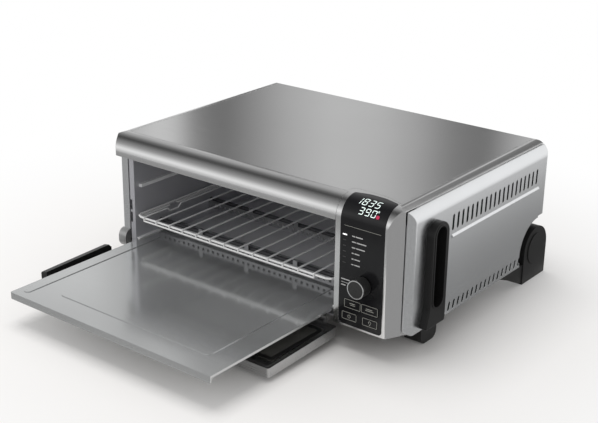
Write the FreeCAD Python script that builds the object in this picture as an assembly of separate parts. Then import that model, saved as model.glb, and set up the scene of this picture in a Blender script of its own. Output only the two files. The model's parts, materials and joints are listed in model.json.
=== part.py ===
import FreeCAD, Part
import math
import os

# Countertop oven that tips up on its rear stand. Millimetres, +Z up, +Y to the back, +X to the right.
# All sizes are taken with Y = 0 at the front face of the casing. The finished solids are moved along Y
# so that the origin is the middle of the footprint, with the tray pulled out, on the resting surface.

# Casing
CASE_W = 480.0
CASE_D = 348.0
CASE_BOTTOM = 30.0
CASE_TOP = 192.0
SKIN = 1.2
NOSE_R = 25.6
SHOULDER_R = 20.0
FRONT_W = CASE_W - 36.6
FRONT_CORNER_R = 5.0
FLANK_W = CASE_W - 16.0
FLANK_Y = 20.0
BEVEL_Y = 29.0
REAR_CORNER_R = 2.0
REAR_DROP = 6.0
PANEL_HEEL_R = 14.0
SEAM = 0.4
GROOVE = 1.2
COVER_W = CASE_W - 45.2
LIP = 8.0
FIT = 0.3
SLIDE_FIT = 0.05
PRESS_FIT = 0.02

# Header above the door and the recess for the door's grip
HEADER_BOTTOM = CASE_TOP - 28.5
HOOK_Z = HEADER_BOTTOM - 6.5
HOOK_R = 5.0
RECESS_BOTTOM = CASE_BOTTOM + 17.0
RECESS_Y = 26.5
RECESS_X = -CASE_W / 2 + 29.0
RECESS_FLANGE = 14.0
RECESS_WALL_D = 16.0

# Control panel
GLASS_LEFT = CASE_W / 2 - 85.0
GLASS_RIGHT = CASE_W / 2 - 23.0
GLASS_BOTTOM = CASE_BOTTOM + 4.5
GLASS_T = 2.2
GLASS_PROUD = 0.3
GLASS_CROWN = 33.0
GLASS_CORNER_R = 5.0
GLASS_CREST_R = 40.0
GLASS_CREST_LEFT = 18.0
GLASS_CREST_RIGHT = 22.0
PANEL_LEFT = GLASS_LEFT - 7.5
PANEL_SKIN = 3.6
PANEL_BOTTOM = CASE_BOTTOM + 2.0
PANEL_CROWN = 40.0
PANEL_CROWN_R = 9.0
PANEL_CREST_X = PANEL_LEFT + 46.0

# Knob
KNOB_X = GLASS_RIGHT - 27.0
KNOB_Z = CASE_TOP - 100.0
KNOB_R = 11.7
KNOB_REACH = 17.0
KNOB_STANDOFF = 1.9
KNOB_WALL = 1.6
KNOB_PUSH = 1.2
KNOB_EDGE_R = 0.5
KNOB_RING_W = 1.3
KNOB_RING_L = 1.8
SHAFT_R = 3.0
SHAFT_HOLE_GAP = 0.5

# Keys, light and number window in the control panel
KEY_GAP = 0.35
KEY_PROUD = 0.5
KEY_TRAVEL = 0.8
KEY_R = 1.6
KEY_STEM_R = 1.5
WIDE_KEY_TOP = KNOB_Z - 23.5
WIDE_KEY_H = 11.5
WIDE_KEY_L = GLASS_LEFT + 8.5
WIDE_KEY_R = GLASS_RIGHT - 5.0
WIDE_KEY_SPLIT = 0.8
SMALL_KEY_TOP = KNOB_Z - 40.5
SMALL_KEY_H = 10.3
SMALL_KEY_W = 21.5
SMALL_KEY_XS = (GLASS_LEFT + 16.3, GLASS_RIGHT - 16.0)
LIGHT_X = GLASS_LEFT + 6.4
LIGHT_Z = CASE_TOP - 42.5
LIGHT_W = 5.0
LIGHT_H = 1.4
WINDOW_X0 = GLASS_LEFT + 19.0
WINDOW_X1 = GLASS_RIGHT - 3.0
WINDOW_Z0 = CASE_TOP - 23.5
WINDOW_Z1 = CASE_TOP - 2.0

# Cavity
CAVITY_LEFT = -CASE_W / 2 + 39.0
CAVITY_RIGHT = PANEL_LEFT - 6.5
CAVITY_FLOOR = CASE_BOTTOM + 3.6
CAVITY_TOP = CASE_TOP - 16.0
CAVITY_BACK = CASE_D - 23.0
LINER_T = 1.0
FRAME_Y = 13.0
FRAME_T = 1.0
FRAME_STILE = 8.5
FRAME_OPEN_TOP = HEADER_BOTTOM - 5.5
FRAME_TOP = CASE_TOP - 20.0
FRAME_BOTTOM = CASE_BOTTOM + 1.4
FRAME_NOTCH_W = 3.5
FRAME_NOTCH_H = 15.0
FRAME_NOTCH_ZS = (CASE_BOTTOM + 36.0, CASE_BOTTOM + 54.0)

# Door, drawn closed and then swung open about the hinge line
DOOR_LEFT = RECESS_X - 26.0
DOOR_RIGHT = PANEL_LEFT - 1.0
DOOR_BOTTOM = CASE_BOTTOM + 1.0
DOOR_TOP = HEADER_BOTTOM - 0.5
DOOR_T = 12.5
DOOR_RAIL = 15.0
DOOR_STILE = 7.0
DOOR_LEFT_STILE = 57.5
DOOR_CORNER_R = 3.0
DOOR_GROOVE_INSET = 3.5
DOOR_GROOVE_W = 0.8
DOOR_GROOVE_D = 0.5
WINDOW_R = 5.0
DOOR_GLASS_T = 4.0
DOOR_GLASS_SINK = 0.8
HINGE_Y = 16.25
HINGE_Z = CASE_BOTTOM - 5.25
CLOSED_SWING = 91.4
KNUCKLE_R = 4.5
KNUCKLE_W = 16.0
HINGE_PIN_R = 2.0
HINGE_XS = (DOOR_LEFT + 53.0, DOOR_RIGHT - 28.5)
HINGE_WEB_Y = 6.0
EAR_T = 2.0
EAR_R = 5.2
EAR_FRONT = 3.5
EAR_BACK = 3.0
BRACKET_D = 26.0
BRACKET_T = 1.1
PIN_END = 0.8
GRIP_W = 13.0
GRIP_BOTTOM = DOOR_BOTTOM + 11.0
GRIP_TOP = DOOR_TOP - 3.0
GRIP_FRONT = 1.0
GRIP_OUTER_Y = 18.5
GRIP_INNER_Y = 22.0
GRIP_R = 2.5
GRIP_CLEAR = 0.5

# Cap over the left end of the hinge line
HINGE_COVER_Y = 16.5
HINGE_COVER_Z = CASE_BOTTOM - 10.0
HINGE_COVER_R = 11.0
HINGE_COVER_D = 13.0

# Crumb tray
TRAY_LEFT = CAVITY_LEFT + 3.0
TRAY_RIGHT = CAVITY_RIGHT - 3.0
TRAY_TOP = CAVITY_FLOOR + 9.4
TRAY_T = 1.0
TRAY_FRONT = -210.5
TRAY_HOME = 14.0
TRAY_BACK_GAP = 2.0
TRAY_LIP = 9.0
TRAY_HEM = 3.2
TRAY_CORNER_R = 2.0
PAN_RISE = 0.8
PAN_LEFT_INSET = 53.0
PAN_RIGHT_INSET = 32.5
PAN_FRONT_INSET = 33.5
PAN_R = 8.0
RIB_X = TRAY_LEFT + 14.5
RIB_W = 10.0
RIB_H = 0.8
RIB_FRONT_INSET = 12.0
RIB_BACK_INSET = 60.0

# Wire rack
RACK_LEFT = CAVITY_LEFT + 4.0
RACK_RIGHT = CAVITY_RIGHT - 5.0
RACK_FRONT = 9.0
RACK_BACK_GAP = 9.5
RACK_Z = CAVITY_FLOOR + 45.2
RACK_FRAME_R = 1.5
RACK_WIRE_R = 1.15
RACK_WELD = 0.5
RACK_COUNT = 12
RACK_FIRST_X = RACK_LEFT + 39.8
RACK_LAST_X = RACK_RIGHT - 25.9
RACK_SIDE_X = RACK_LEFT + 17.0
RACK_CORNER_R = 9.0
RACK_KINK = (54.0, 82.0)
RACK_KINK_RUN = 6.0
RACK_KINK_DROP = 5.0
RACK_BRACE_Y = CAVITY_BACK - 110.0
RACK_APRON_DROP = 3.4

# Ledges on the side walls
LEDGE_OUT = 6.0
LEDGE_T = 2.2
LEDGE_SPANS = ((20.0, 75.0), (91.0, 177.0), (193.0, CAVITY_BACK - 25.0))
UPPER_LEDGE_Z = CAVITY_FLOOR + 85.4
UPPER_LEDGE_T = 4.5
UPPER_LEDGE_OUT = 5.0
UPPER_LEDGE_SPAN = (22.0, CAVITY_BACK - 25.0)
TRAY_GUIDE_OUT = 5.5
TRAY_GUIDE_T = 1.0
TRAY_GUIDE_D = 70.0

# Heating rods
ROD_R = 3.2
FIRST_ROD_Y = 62.0
LAST_ROD_Y = CAVITY_BACK - 51.0
ROD_YS = (FIRST_ROD_Y, (FIRST_ROD_Y + LAST_ROD_Y) / 2, LAST_ROD_Y)
LOWER_ROD_Z = CAVITY_FLOOR + 23.4
UPPER_ROD_Z = CAVITY_TOP - 10.0
ROD_TERMINAL = 11.0
INSULATOR_R = 6.0
INSULATOR_T = 3.0
GUARD_Y_BACKSET = 4.8
GUARD_Z0 = LOWER_ROD_Z - 11.0
GUARD_Z1 = LOWER_ROD_Z
GUARD_T = 1.0
GUARD_TAB_XS = (CAVITY_LEFT + 81.0, CAVITY_LEFT + 163.0, CAVITY_LEFT + 245.0)
GUARD_TAB_W = 7.0
GUARD_TAB_H = 7.0
GUARD_HOLE_R = 2.0
GUARD_HOLE_PITCH = 9.0

# Convection fan behind the right wall
FAN_Y = CAVITY_BACK - 120.0
FAN_Z = CAVITY_FLOOR + 89.4
FAN_R = 34.0
FAN_HUB_R = 9.0
FAN_BLADES = 10
FAN_BLADE_T = 1.2
FAN_BLADE_W = 9.0
FAN_SHAFT_R = 3.0
FAN_GAP = 4.0
FAN_BOX_R = 39.0
FAN_BOX_DEPTH = 17.0
FAN_GUARD_R = 44.0
FAN_GUARD_T = 1.6
FAN_GUARD_RIM = 9.0
FAN_SLOT_W = 5.0
FAN_SLOT_PITCH = 9.0
FAN_FLANGE = 5.0
MOTOR_R = 21.0
MOTOR_L = 26.0

# Side handles
HANDLE_FRONT = 52.5
HANDLE_BACK = 88.5
HANDLE_TOP = CASE_TOP - 27.0
HANDLE_BOTTOM = CASE_BOTTOM + 3.0
HANDLE_OUT = 9.4
HANDLE_TOP_R = 17.0
HANDLE_HEEL_R = 3.0
HANDLE_TOE = 7.0
HANDLE_TOE_R = 20.0
HANDLE_EDGE_R = 1.5
SLOT_FRONT = 59.0
SLOT_BACK = 80.5
SLOT_TOP = CASE_TOP - 32.0
SLOT_BOTTOM = CASE_BOTTOM + 27.0
SLOT_DEPTH = 24.0
POCKET_WALL = 1.8
HANDLE_RIM_W = 2.2
HANDLE_RIM_H = 0.6

# Front feet
FRONT_FOOT_X0 = CASE_W / 2 - 34.0
FRONT_FOOT_X1 = CASE_W / 2 - 9.0
FRONT_FOOT_Y0 = 66.0
FRONT_FOOT_Y1 = 101.0
FRONT_FOOT_R = 10.0

# Rear stand
PIVOT_Y = CASE_D - 15.0
PIVOT_Z = CASE_BOTTOM + 15.0
STAND_FLANGE_R = 31.0
STAND_INNER_X = CASE_W / 2 - 15.0
STAND_OUTER_X = CASE_W / 2 + 0.8
STAND_CLEAR = 3.0
TOE_SIDE_GAP = 0.4
STAND_TOE_Y = PIVOT_Y - 93.0
STAND_TOE_CURVE = ((PIVOT_Y - 73.0, 21.6), (PIVOT_Y - 49.0, 9.7))
STAND_TOE_END = PIVOT_Y - 26.0
STAND_DISC_R = 22.0
STAND_DISC_T = 1.2
PAD_T = 2.0
PAD_Y0 = PIVOT_Y - 24.0
PAD_Y1 = PIVOT_Y + 24.0
PAD_INSET_X = 3.0
PAD_SINK = 1.2
FLIP_SHAFT_R = 5.0
SHAFT_SEAT = 9.0
BUSH_R = 8.0
BUSH_L = 7.0
BUSH_END = 1.0
ARCH_R = 43.5
ARCH_STEP_Z = PIVOT_Z + 46.0
ARCH_BACK_Y = PIVOT_Y + 1.0
CARRIER_T = 2.0
CARRIER_FRONT = PIVOT_Y - 48.0
CARRIER_TOP = PIVOT_Z + 51.0
CARRIER_SLOPE = 24.0
BUMPER_BACK = CASE_D + 30.0
BUMPER_X = CASE_W / 2 - 90.0
BUMPER_W = 44.0
BUMPER_Z0 = CASE_TOP - 52.0
BUMPER_Z1 = CASE_TOP - 24.0
BUMPER_R = 6.0

# Vents in the side panels, the floor pan and the back
VENT_COUNT = 20
VENT_PITCH = 11.0
VENT_Y0 = CASE_D - 237.0
VENT_W = 4.4
VENT_Z0 = CASE_TOP - 52.0
VENT_Z1 = CASE_TOP - 31.5
VENT_LEAN = 1.0
VENT_LIP_Z = VENT_Z0 - 8.8
VENT_LIP_H = 3.8
VENT_LIP_OUT = 2.0
VENT_LIP_EDGE = 1.3
VENT_LIP_FRONT = 2.0
VENT_LIP_BACK = 4.0
LOW_VENT_COUNT = 17
LOW_VENT_Z0 = CASE_BOTTOM + 3.2
LOW_VENT_Z1 = CASE_BOTTOM + 14.5
LOW_VENT_LEAN = 3.0
BACK_VENT_COUNT = 16
BACK_VENT_PITCH = 14.0
BACK_VENT_W = 4.0
BACK_VENT_H = 20.0
BACK_VENT_ZS = (CASE_BOTTOM + 32.0, CASE_BOTTOM + 74.0)
BASE_VENT_Y0 = CASE_D - 188.0
BASE_VENT_Y1 = CASE_D - 118.0

# Electrical pieces behind the control panel
BOARD_T = 1.6
BOARD_Y = 17.0
BOARD_MARGIN = 3.0
BOARD_POST_R = 2.5
BOARD_POST_XS = (GLASS_LEFT + 4.0, GLASS_RIGHT - 10.0)
BOARD_POST_ZS = (KNOB_Z - 19.0, KNOB_Z + 46.5)
DISPLAY_D = 6.0
DISPLAY_GAP = 0.5
PIPE_GAP = 0.1
ENCODER_W = 13.0
ENCODER_D = 7.0
ENCODER_NECK_WALL = 2.0
SWITCH_W = 6.0
POWER_BOARD_X = CASE_W / 2 - 36.0
POWER_BOARD_Y0 = CASE_D - 238.0
POWER_BOARD_Y1 = CASE_D - 98.0
POWER_BOARD_Z0 = CASE_BOTTOM + 22.0
POWER_BOARD_Z1 = CASE_BOTTOM + 98.0
POWER_POST_T = 6.0
POWER_POST_D = 8.0
POWER_POST_INSET = 6.0
RELAY_SIZE = (12.0, 26.0, 18.0)
RELAY_COUNT = 3
RELAY_GAP = 14.0
INLET_X = CASE_W / 2 - 44.0
INLET_Z = CASE_BOTTOM + 32.0
INLET_R = 9.0
INLET_BORE_R = 4.2
INLET_RIM = 2.0
INLET_OUT = 5.0
INLET_IN = 9.0
PROBE_R = 2.0
PROBE_Z = CAVITY_TOP - 26.0
PROBE_Y0 = CAVITY_BACK - 85.0
PROBE_Y1 = CAVITY_BACK - 20.0
PROBE_OFF = 6.0
PROBE_CLIP_INSET = 12.0
PROBE_CLIP_W = 4.0

# Fasteners
SCREW_R = 1.5
SCREW_HEAD_R = 3.0
SCREW_HEAD_T = 1.6
SCREW_L = 5.0
BASE_SCREW_XS = (-CASE_W / 2 + 35.0, 0.0, CASE_W / 2 - 35.0)
BASE_SCREW_YS = (130.0, CASE_D - 86.0)
BACK_SCREW_XS = (-CASE_W / 2 + 26.0, -70.0, 70.0, CASE_W / 2 - 26.0)
BACK_SCREW_ZS = (CASE_BOTTOM + 78.0, CASE_TOP - 8.0)

VEC = FreeCAD.Vector
Y_MID = (TRAY_FRONT + BUMPER_BACK) / 2
FAR = 900.0


# Shape helpers
def box(x0, x1, y0, y1, z0, z1):
    return Part.makeBox(x1 - x0, y1 - y0, z1 - z0, VEC(x0, y0, z0))


def rod(start, axis, radius, length):
    return Part.makeCylinder(radius, length, VEC(*start), VEC(*axis))


def ring(start, axis, outer_r, inner_r, length):
    return rod(start, axis, outer_r, length).cut(rod(start, axis, inner_r, length))


def fuse_all(shapes):
    first = shapes[0]
    if len(shapes) == 1:
        return first
    return first.multiFuse(shapes[1:]).removeSplitter()


def group(shapes):
    return Part.makeCompound(shapes)


def mirror_x(shape):
    return shape.mirror(VEC(0, 0, 0), VEC(1, 0, 0))


def in_plane(u, v, plane, level):
    if plane == "XY":
        return VEC(u, v, level)
    if plane == "XZ":
        return VEC(u, level, v)
    return VEC(level, u, v)


def outline(corners, plane, level):
    """Closed wire through corners given as (u, v) or (u, v, radius)."""
    count = len(corners)
    starts = []
    ends = []
    mids = []
    for i in range(count):
        here = VEC(corners[i][0], corners[i][1], 0)
        radius = corners[i][2] if len(corners[i]) > 2 else 0.0
        before = VEC(corners[i - 1][0], corners[i - 1][1], 0) - here
        after = VEC(corners[(i + 1) % count][0], corners[(i + 1) % count][1], 0) - here
        if radius <= 0:
            starts.append(here)
            mids.append(None)
            ends.append(here)
            continue
        half = before.getAngle(after) / 2
        back = min(radius / math.tan(half), 0.49 * before.Length, 0.49 * after.Length)
        radius = back * math.tan(half)
        before.normalize()
        after.normalize()
        middle = before + after
        middle.normalize()
        starts.append(here + before * back)
        ends.append(here + after * back)
        mids.append(here + middle * (radius / math.sin(half) - radius))
    edges = []
    for i in range(count):
        if mids[i] is not None:
            arc_points = [in_plane(p.x, p.y, plane, level) for p in (starts[i], mids[i], ends[i])]
            edges.append(Part.Arc(*arc_points).toShape())
        following = starts[(i + 1) % count]
        if (following - ends[i]).Length > 1e-6:
            line_points = [in_plane(p.x, p.y, plane, level) for p in (ends[i], following)]
            edges.append(Part.makeLine(*line_points))
    return Part.Wire(edges)


def prism(corners, plane, low, high):
    face = Part.Face(outline(corners, plane, low))
    way = in_plane(0, 0, plane, high - low)
    return face.extrude(way)


def rounded_box(x0, x1, y0, y1, z0, z1, radius, plane):
    """Box whose four corners are rounded in the plane named."""
    if plane == "XY":
        return prism(((x0, y0, radius), (x1, y0, radius), (x1, y1, radius), (x0, y1, radius)), plane, z0, z1)
    if plane == "XZ":
        return prism(((x0, z0, radius), (x1, z0, radius), (x1, z1, radius), (x0, z1, radius)), plane, y0, y1)
    return prism(((y0, z0, radius), (y1, z0, radius), (y1, z1, radius), (y0, z1, radius)), plane, x0, x1)


def rods_along(path, radius):
    """Wire bent through the points of a path, with round joints."""
    parts = []
    for a, b in zip(path, path[1:]):
        start = VEC(*a)
        way = VEC(*b) - start
        parts.append(Part.makeCylinder(radius, way.Length, start, way))
        parts.append(Part.makeSphere(radius, VEC(*b)))
    parts.append(Part.makeSphere(radius, VEC(*path[0])))
    return fuse_all(parts)


# Casing
def casing_form(inset):
    """Outer form of the casing, drawn in by an even amount."""
    plan = Part.Wire(outline((
        (-CASE_W / 2, CASE_D, REAR_CORNER_R),
        (-CASE_W / 2, BEVEL_Y, FRONT_CORNER_R),
        (-FLANK_W / 2, FLANK_Y, FRONT_CORNER_R),
        (-FRONT_W / 2, 0, FRONT_CORNER_R),
        (FRONT_W / 2, 0, FRONT_CORNER_R),
        (FLANK_W / 2, FLANK_Y, FRONT_CORNER_R),
        (CASE_W / 2, BEVEL_Y, FRONT_CORNER_R),
        (CASE_W / 2, CASE_D, REAR_CORNER_R),
    ), "XY", CASE_BOTTOM + inset).Edges)
    if inset != 0:
        plan = plan.makeOffset2D(-inset)
    up = Part.Face(plan).extrude(VEC(0, 0, CASE_TOP - CASE_BOTTOM - 2 * inset))
    half = CASE_W / 2 - inset
    front = prism((
        (-half, CASE_BOTTOM + inset),
        (half, CASE_BOTTOM + inset),
        (half, CASE_TOP - inset, SHOULDER_R - inset),
        (-half, CASE_TOP - inset, SHOULDER_R - inset),
    ), "XZ", -FAR, FAR)
    side = prism((
        (inset, CASE_BOTTOM + inset),
        (CASE_D - inset, CASE_BOTTOM + inset),
        (CASE_D - inset, CASE_TOP - inset, REAR_CORNER_R - inset),
        (inset, CASE_TOP - inset, NOSE_R - inset),
    ), "YZ", -FAR, FAR)
    return up.common(front).common(side)


def casing_shell(outer_inset, inner_inset):
    return casing_form(outer_inset).cut(casing_form(inner_inset))


def crown_region(gap):
    """Upright block over the control panel whose back edge swells into the top face."""
    left = PANEL_LEFT - gap
    return prism((
        (left - 4, NOSE_R - 1),
        (left - 2, PANEL_CROWN + gap, PANEL_CROWN_R),
        (PANEL_CREST_X, PANEL_CROWN - 1.5 + gap, GLASS_CREST_R),
        (COVER_W / 2, NOSE_R + 4 + gap),
        (COVER_W / 2, NOSE_R - 1),
    ), "XY", PANEL_BOTTOM, CASE_TOP + 1)


def top_cover(shell):
    edge = COVER_W / 2 - SEAM / 2
    flat = box(-edge, edge, NOSE_R + SEAM, FAR, CASE_TOP - SKIN - 0.001, FAR)
    rear_edge = box(-edge, edge, CASE_D - REAR_DROP, FAR, CASE_TOP - REAR_DROP, FAR)
    return shell.common(flat.fuse(rear_edge)).cut(crown_region(SEAM))


def front_header(shell, second_layer):
    """Rounded nose over the door, with a return lip at its foot and a joggle under the top cover."""
    left = -FLANK_W / 2 + GROOVE / 2
    solid = casing_form(0)
    nose = shell.common(box(left, PANEL_LEFT - SEAM, -1, NOSE_R, HEADER_BOTTOM, FAR))
    return_lip = solid.common(box(left, PANEL_LEFT - SEAM, 0, FRAME_Y, HEADER_BOTTOM, HEADER_BOTTOM + SKIN))
    recess_roof = solid.common(box(left, RECESS_X, 0, NOSE_R, HEADER_BOTTOM, HEADER_BOTTOM + SKIN))
    joggle = second_layer.common(
        box(-COVER_W / 2 + 2, PANEL_LEFT - 6, NOSE_R - 4, NOSE_R + LIP, CASE_TOP - 3 * SKIN, FAR))
    return fuse_all([nose, return_lip, recess_roof, joggle])


def upper_trim(shell, second_layer):
    """Strip between the top cover and the rounded edge of the right side panel."""
    inner = COVER_W / 2 + SEAM / 2
    outer = FLANK_W / 2 - GROOVE / 2
    low = CASE_TOP - REAR_DROP
    strip = shell.common(box(inner, outer, NOSE_R + SEAM, FAR, low, FAR))
    under = second_layer.common(
        box(inner - LIP, outer + LIP / 2, PANEL_CROWN + FIT, CASE_D - REAR_DROP, low, FAR))
    return fuse_all([strip, under])


def vent_slot(y, z0, z1, lean):
    return prism((
        (y - VENT_W / 2, z0, VENT_W / 2),
        (y + VENT_W / 2, z0, VENT_W / 2),
        (y + VENT_W / 2 + lean, z1, VENT_W / 2),
        (y - VENT_W / 2 + lean, z1, VENT_W / 2),
    ), "YZ", CASE_W / 2 - SKIN - 3, CASE_W / 2 + 3)


def handle_outline():
    return (
        (HANDLE_FRONT, HANDLE_TOP, HANDLE_TOP_R),
        (HANDLE_BACK, HANDLE_TOP, HANDLE_TOP_R),
        (HANDLE_BACK, HANDLE_BOTTOM, HANDLE_HEEL_R),
        (HANDLE_FRONT - HANDLE_TOE, HANDLE_BOTTOM, HANDLE_HEEL_R),
        (HANDLE_FRONT, SLOT_BOTTOM, HANDLE_TOE_R),
    )


def slot_outline(grow):
    radius = (SLOT_BACK - SLOT_FRONT) / 2 + grow - 0.01
    return (
        (SLOT_FRONT - grow, SLOT_TOP + grow, radius),
        (SLOT_BACK + grow, SLOT_TOP + grow, radius),
        (SLOT_BACK + grow, SLOT_BOTTOM - grow, radius),
        (SLOT_FRONT - grow, SLOT_BOTTOM - grow, radius),
    )


def arch_cut():
    """Space round the rear foot, taken out of the side panel and its flanges."""
    x0 = STAND_INNER_X - STAND_CLEAR
    disc = rod((x0, PIVOT_Y, PIVOT_Z), (1, 0, 0), ARCH_R, FAR)
    behind = box(x0, FAR, ARCH_BACK_Y, FAR, 0, ARCH_STEP_Z)
    return disc.fuse(behind)


def heel_cut():
    """What falls away outside the rounded lower front corner of a side panel."""
    corner = box(0, FAR, -FAR, FLANK_Y + PANEL_HEEL_R, -FAR, CASE_BOTTOM + PANEL_HEEL_R)
    round_heel = rod((0, FLANK_Y + PANEL_HEEL_R, CASE_BOTTOM + PANEL_HEEL_R), (1, 0, 0), PANEL_HEEL_R, FAR)
    return corner.cut(round_heel)


def vent_lip():
    """Ridge under the upper vents, with a sloping upper face."""
    face = CASE_W / 2
    return prism((
        (face - SKIN, VENT_LIP_Z),
        (face + VENT_LIP_OUT, VENT_LIP_Z),
        (face + VENT_LIP_OUT, VENT_LIP_Z + VENT_LIP_EDGE),
        (face, VENT_LIP_Z + VENT_LIP_H),
        (face - SKIN, VENT_LIP_Z + VENT_LIP_H),
    ), "XZ", VENT_Y0 - VENT_LIP_FRONT, VENT_Y0 + VENT_COUNT * VENT_PITCH - VENT_LIP_BACK)


def side_panel(shell):
    """Right side panel with its rounded upper edge, bevelled front edge and vents."""
    x_groove = FLANK_W / 2 + GROOVE / 2
    inner = STAND_INNER_X - STAND_CLEAR
    body = shell.common(box(x_groove, FAR, -FAR, FAR, -FAR, FAR))
    bottom = shell.common(box(inner, FAR, BEVEL_Y, FAR, -FAR, CASE_BOTTOM + STAND_CLEAR))
    back = shell.common(box(inner, FAR, CASE_D - SKIN - 0.001, FAR, -FAR, CASE_TOP - REAR_DROP - SEAM))
    arch_rim = ring((inner, PIVOT_Y, PIVOT_Z), (1, 0, 0), ARCH_R + SKIN, ARCH_R, CASE_W / 2 - SKIN / 2 - inner)
    arch_rim = arch_rim.common(box(0, FAR, 0, ARCH_BACK_Y, CASE_BOTTOM, FAR))
    panel = fuse_all([body, bottom, back, vent_lip()]).cut(arch_cut().fuse(heel_cut()))
    panel = fuse_all([panel, arch_rim])
    slots = []
    for i in range(VENT_COUNT):
        slots.append(vent_slot(VENT_Y0 + i * VENT_PITCH, VENT_Z0, VENT_Z1, VENT_LEAN))
    for i in range(LOW_VENT_COUNT):
        slots.append(vent_slot(VENT_Y0 + i * VENT_PITCH, LOW_VENT_Z0, LOW_VENT_Z1, LOW_VENT_LEAN))
    slots.append(prism(slot_outline(POCKET_WALL + FIT), "YZ", CASE_W / 2 - SLOT_DEPTH, CASE_W / 2 + SLOT_DEPTH))
    return panel.cut(group(slots))


def left_side_panel(shell):
    """Mirror image of the right panel, cut back where the door's grip closes."""
    panel = mirror_x(side_panel(shell))
    edge = -CASE_W / 2
    hook = prism((
        (FLANK_Y, HOOK_Z, HOOK_R),
        (RECESS_Y, HOOK_Z),
        (RECESS_Y, FAR),
        (FLANK_Y, FAR),
    ), "YZ", -FAR, 0)
    clear = box(-FAR, 0, -FAR, RECESS_Y, -FAR, FAR)
    panel = panel.cut(clear.cut(hook))
    low = RECESS_BOTTOM - 12
    high = HEADER_BOTTOM + 2
    flange = box(edge, edge + RECESS_FLANGE, RECESS_Y, RECESS_Y + SKIN, low, high)
    wall = box(edge + RECESS_FLANGE - SKIN, edge + RECESS_FLANGE, RECESS_Y, RECESS_Y + RECESS_WALL_D, low, high)
    return fuse_all([panel, flange.common(casing_form(0)), wall])


def base_pan():
    edge = STAND_INNER_X - STAND_CLEAR - SEAM
    low = CASE_BOTTOM - 1
    high = CASE_BOTTOM + SKIN + 1
    plate = box(-edge, edge, FRAME_Y + FRAME_T + 1, CASE_D, CASE_BOTTOM, CASE_BOTTOM + SKIN)
    cuts = [box(-FAR, RECESS_X, -FAR, RECESS_Y + SEAM, 0, FAR)]
    for x in BASE_SCREW_XS:
        for y in BASE_SCREW_YS:
            cuts.append(rod((x, y, low), (0, 0, 1), SCREW_R + PRESS_FIT, high - low))
    half = BACK_VENT_W / 2
    for i in range(BACK_VENT_COUNT):
        x = (i - (BACK_VENT_COUNT - 1) / 2) * BACK_VENT_PITCH
        cuts.append(rounded_box(x - half, x + half, BASE_VENT_Y0, BASE_VENT_Y1, low, high, half - 0.01, "XY"))
    return plate.cut(group(cuts))


def back_panel():
    edge = STAND_INNER_X - STAND_CLEAR - SEAM
    plate = box(-edge, edge, CASE_D - SKIN, CASE_D, CASE_BOTTOM + SKIN + SEAM, CASE_TOP - REAR_DROP - SEAM)
    y0 = CASE_D - SKIN - 1
    y1 = CASE_D + 1
    cuts = [rod((INLET_X, y0, INLET_Z), (0, 1, 0), INLET_R - INLET_RIM, y1 - y0)]
    for x in BACK_SCREW_XS:
        for z in BACK_SCREW_ZS:
            cuts.append(rod((x, y0, z), (0, 1, 0), SCREW_R + PRESS_FIT, y1 - y0))
    half = BACK_VENT_W / 2
    for z in BACK_VENT_ZS:
        for i in range(BACK_VENT_COUNT):
            x = (i - (BACK_VENT_COUNT - 1) / 2) * BACK_VENT_PITCH
            cuts.append(rounded_box(x - half, x + half, y0, y1, z, z + BACK_VENT_H, half - 0.01, "XZ"))
    return plate.cut(group(cuts))


def inlet_gland():
    """Bushing for the mains lead, snapped into the back panel."""
    through = ring((INLET_X, CASE_D - INLET_IN, INLET_Z), (0, 1, 0), INLET_R - INLET_RIM - PRESS_FIT,
                   INLET_BORE_R, INLET_IN)
    collar = ring((INLET_X, CASE_D, INLET_Z), (0, 1, 0), INLET_R, INLET_BORE_R, INLET_OUT)
    return fuse_all([through, collar])


def screw(head_start, axis):
    """Pan-head screw whose head starts on a face and whose shank goes back along the axis."""
    head = rod(head_start, axis, SCREW_HEAD_R, SCREW_HEAD_T)
    back = tuple(-a for a in axis)
    shank = rod(head_start, back, SCREW_R, SCREW_L)
    return head.fuse(shank).removeSplitter()


def casing_screws():
    screws = []
    for x in BACK_SCREW_XS:
        for z in BACK_SCREW_ZS:
            screws.append(screw((x, CASE_D, z), (0, 1, 0)))
    for x in BASE_SCREW_XS:
        for y in BASE_SCREW_YS:
            head = rod((x, y, CASE_BOTTOM), (0, 0, -1), SCREW_HEAD_R, SCREW_HEAD_T)
            shank = rod((x, y, CASE_BOTTOM), (0, 0, 1), SCREW_R, CAVITY_FLOOR - LINER_T - CASE_BOTTOM)
            screws.append(head.fuse(shank).removeSplitter())
    return group(screws)


# Control panel
def glass_region(gap):
    """Upright block that bounds the glass: square sides, rounded foot, swelling top edge."""
    left = GLASS_LEFT - gap
    right = GLASS_RIGHT + gap
    face = prism((
        (left, GLASS_BOTTOM - gap, GLASS_CORNER_R),
        (right, GLASS_BOTTOM - gap, GLASS_CORNER_R),
        (right, CASE_TOP + 5),
        (left, CASE_TOP + 5),
    ), "XZ", -5, GLASS_CROWN + 10)
    top = prism((
        (left, -5),
        (left, NOSE_R + 2 + gap, 2),
        (GLASS_LEFT + GLASS_CREST_LEFT, GLASS_CROWN + gap, GLASS_CREST_R),
        (GLASS_RIGHT - GLASS_CREST_RIGHT, GLASS_CROWN - 0.5 + gap, GLASS_CREST_R),
        (right, NOSE_R + 1 + gap, GLASS_CORNER_R),
        (right, -5),
    ), "XY", 0, CASE_TOP + 10)
    return face.common(top)


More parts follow.
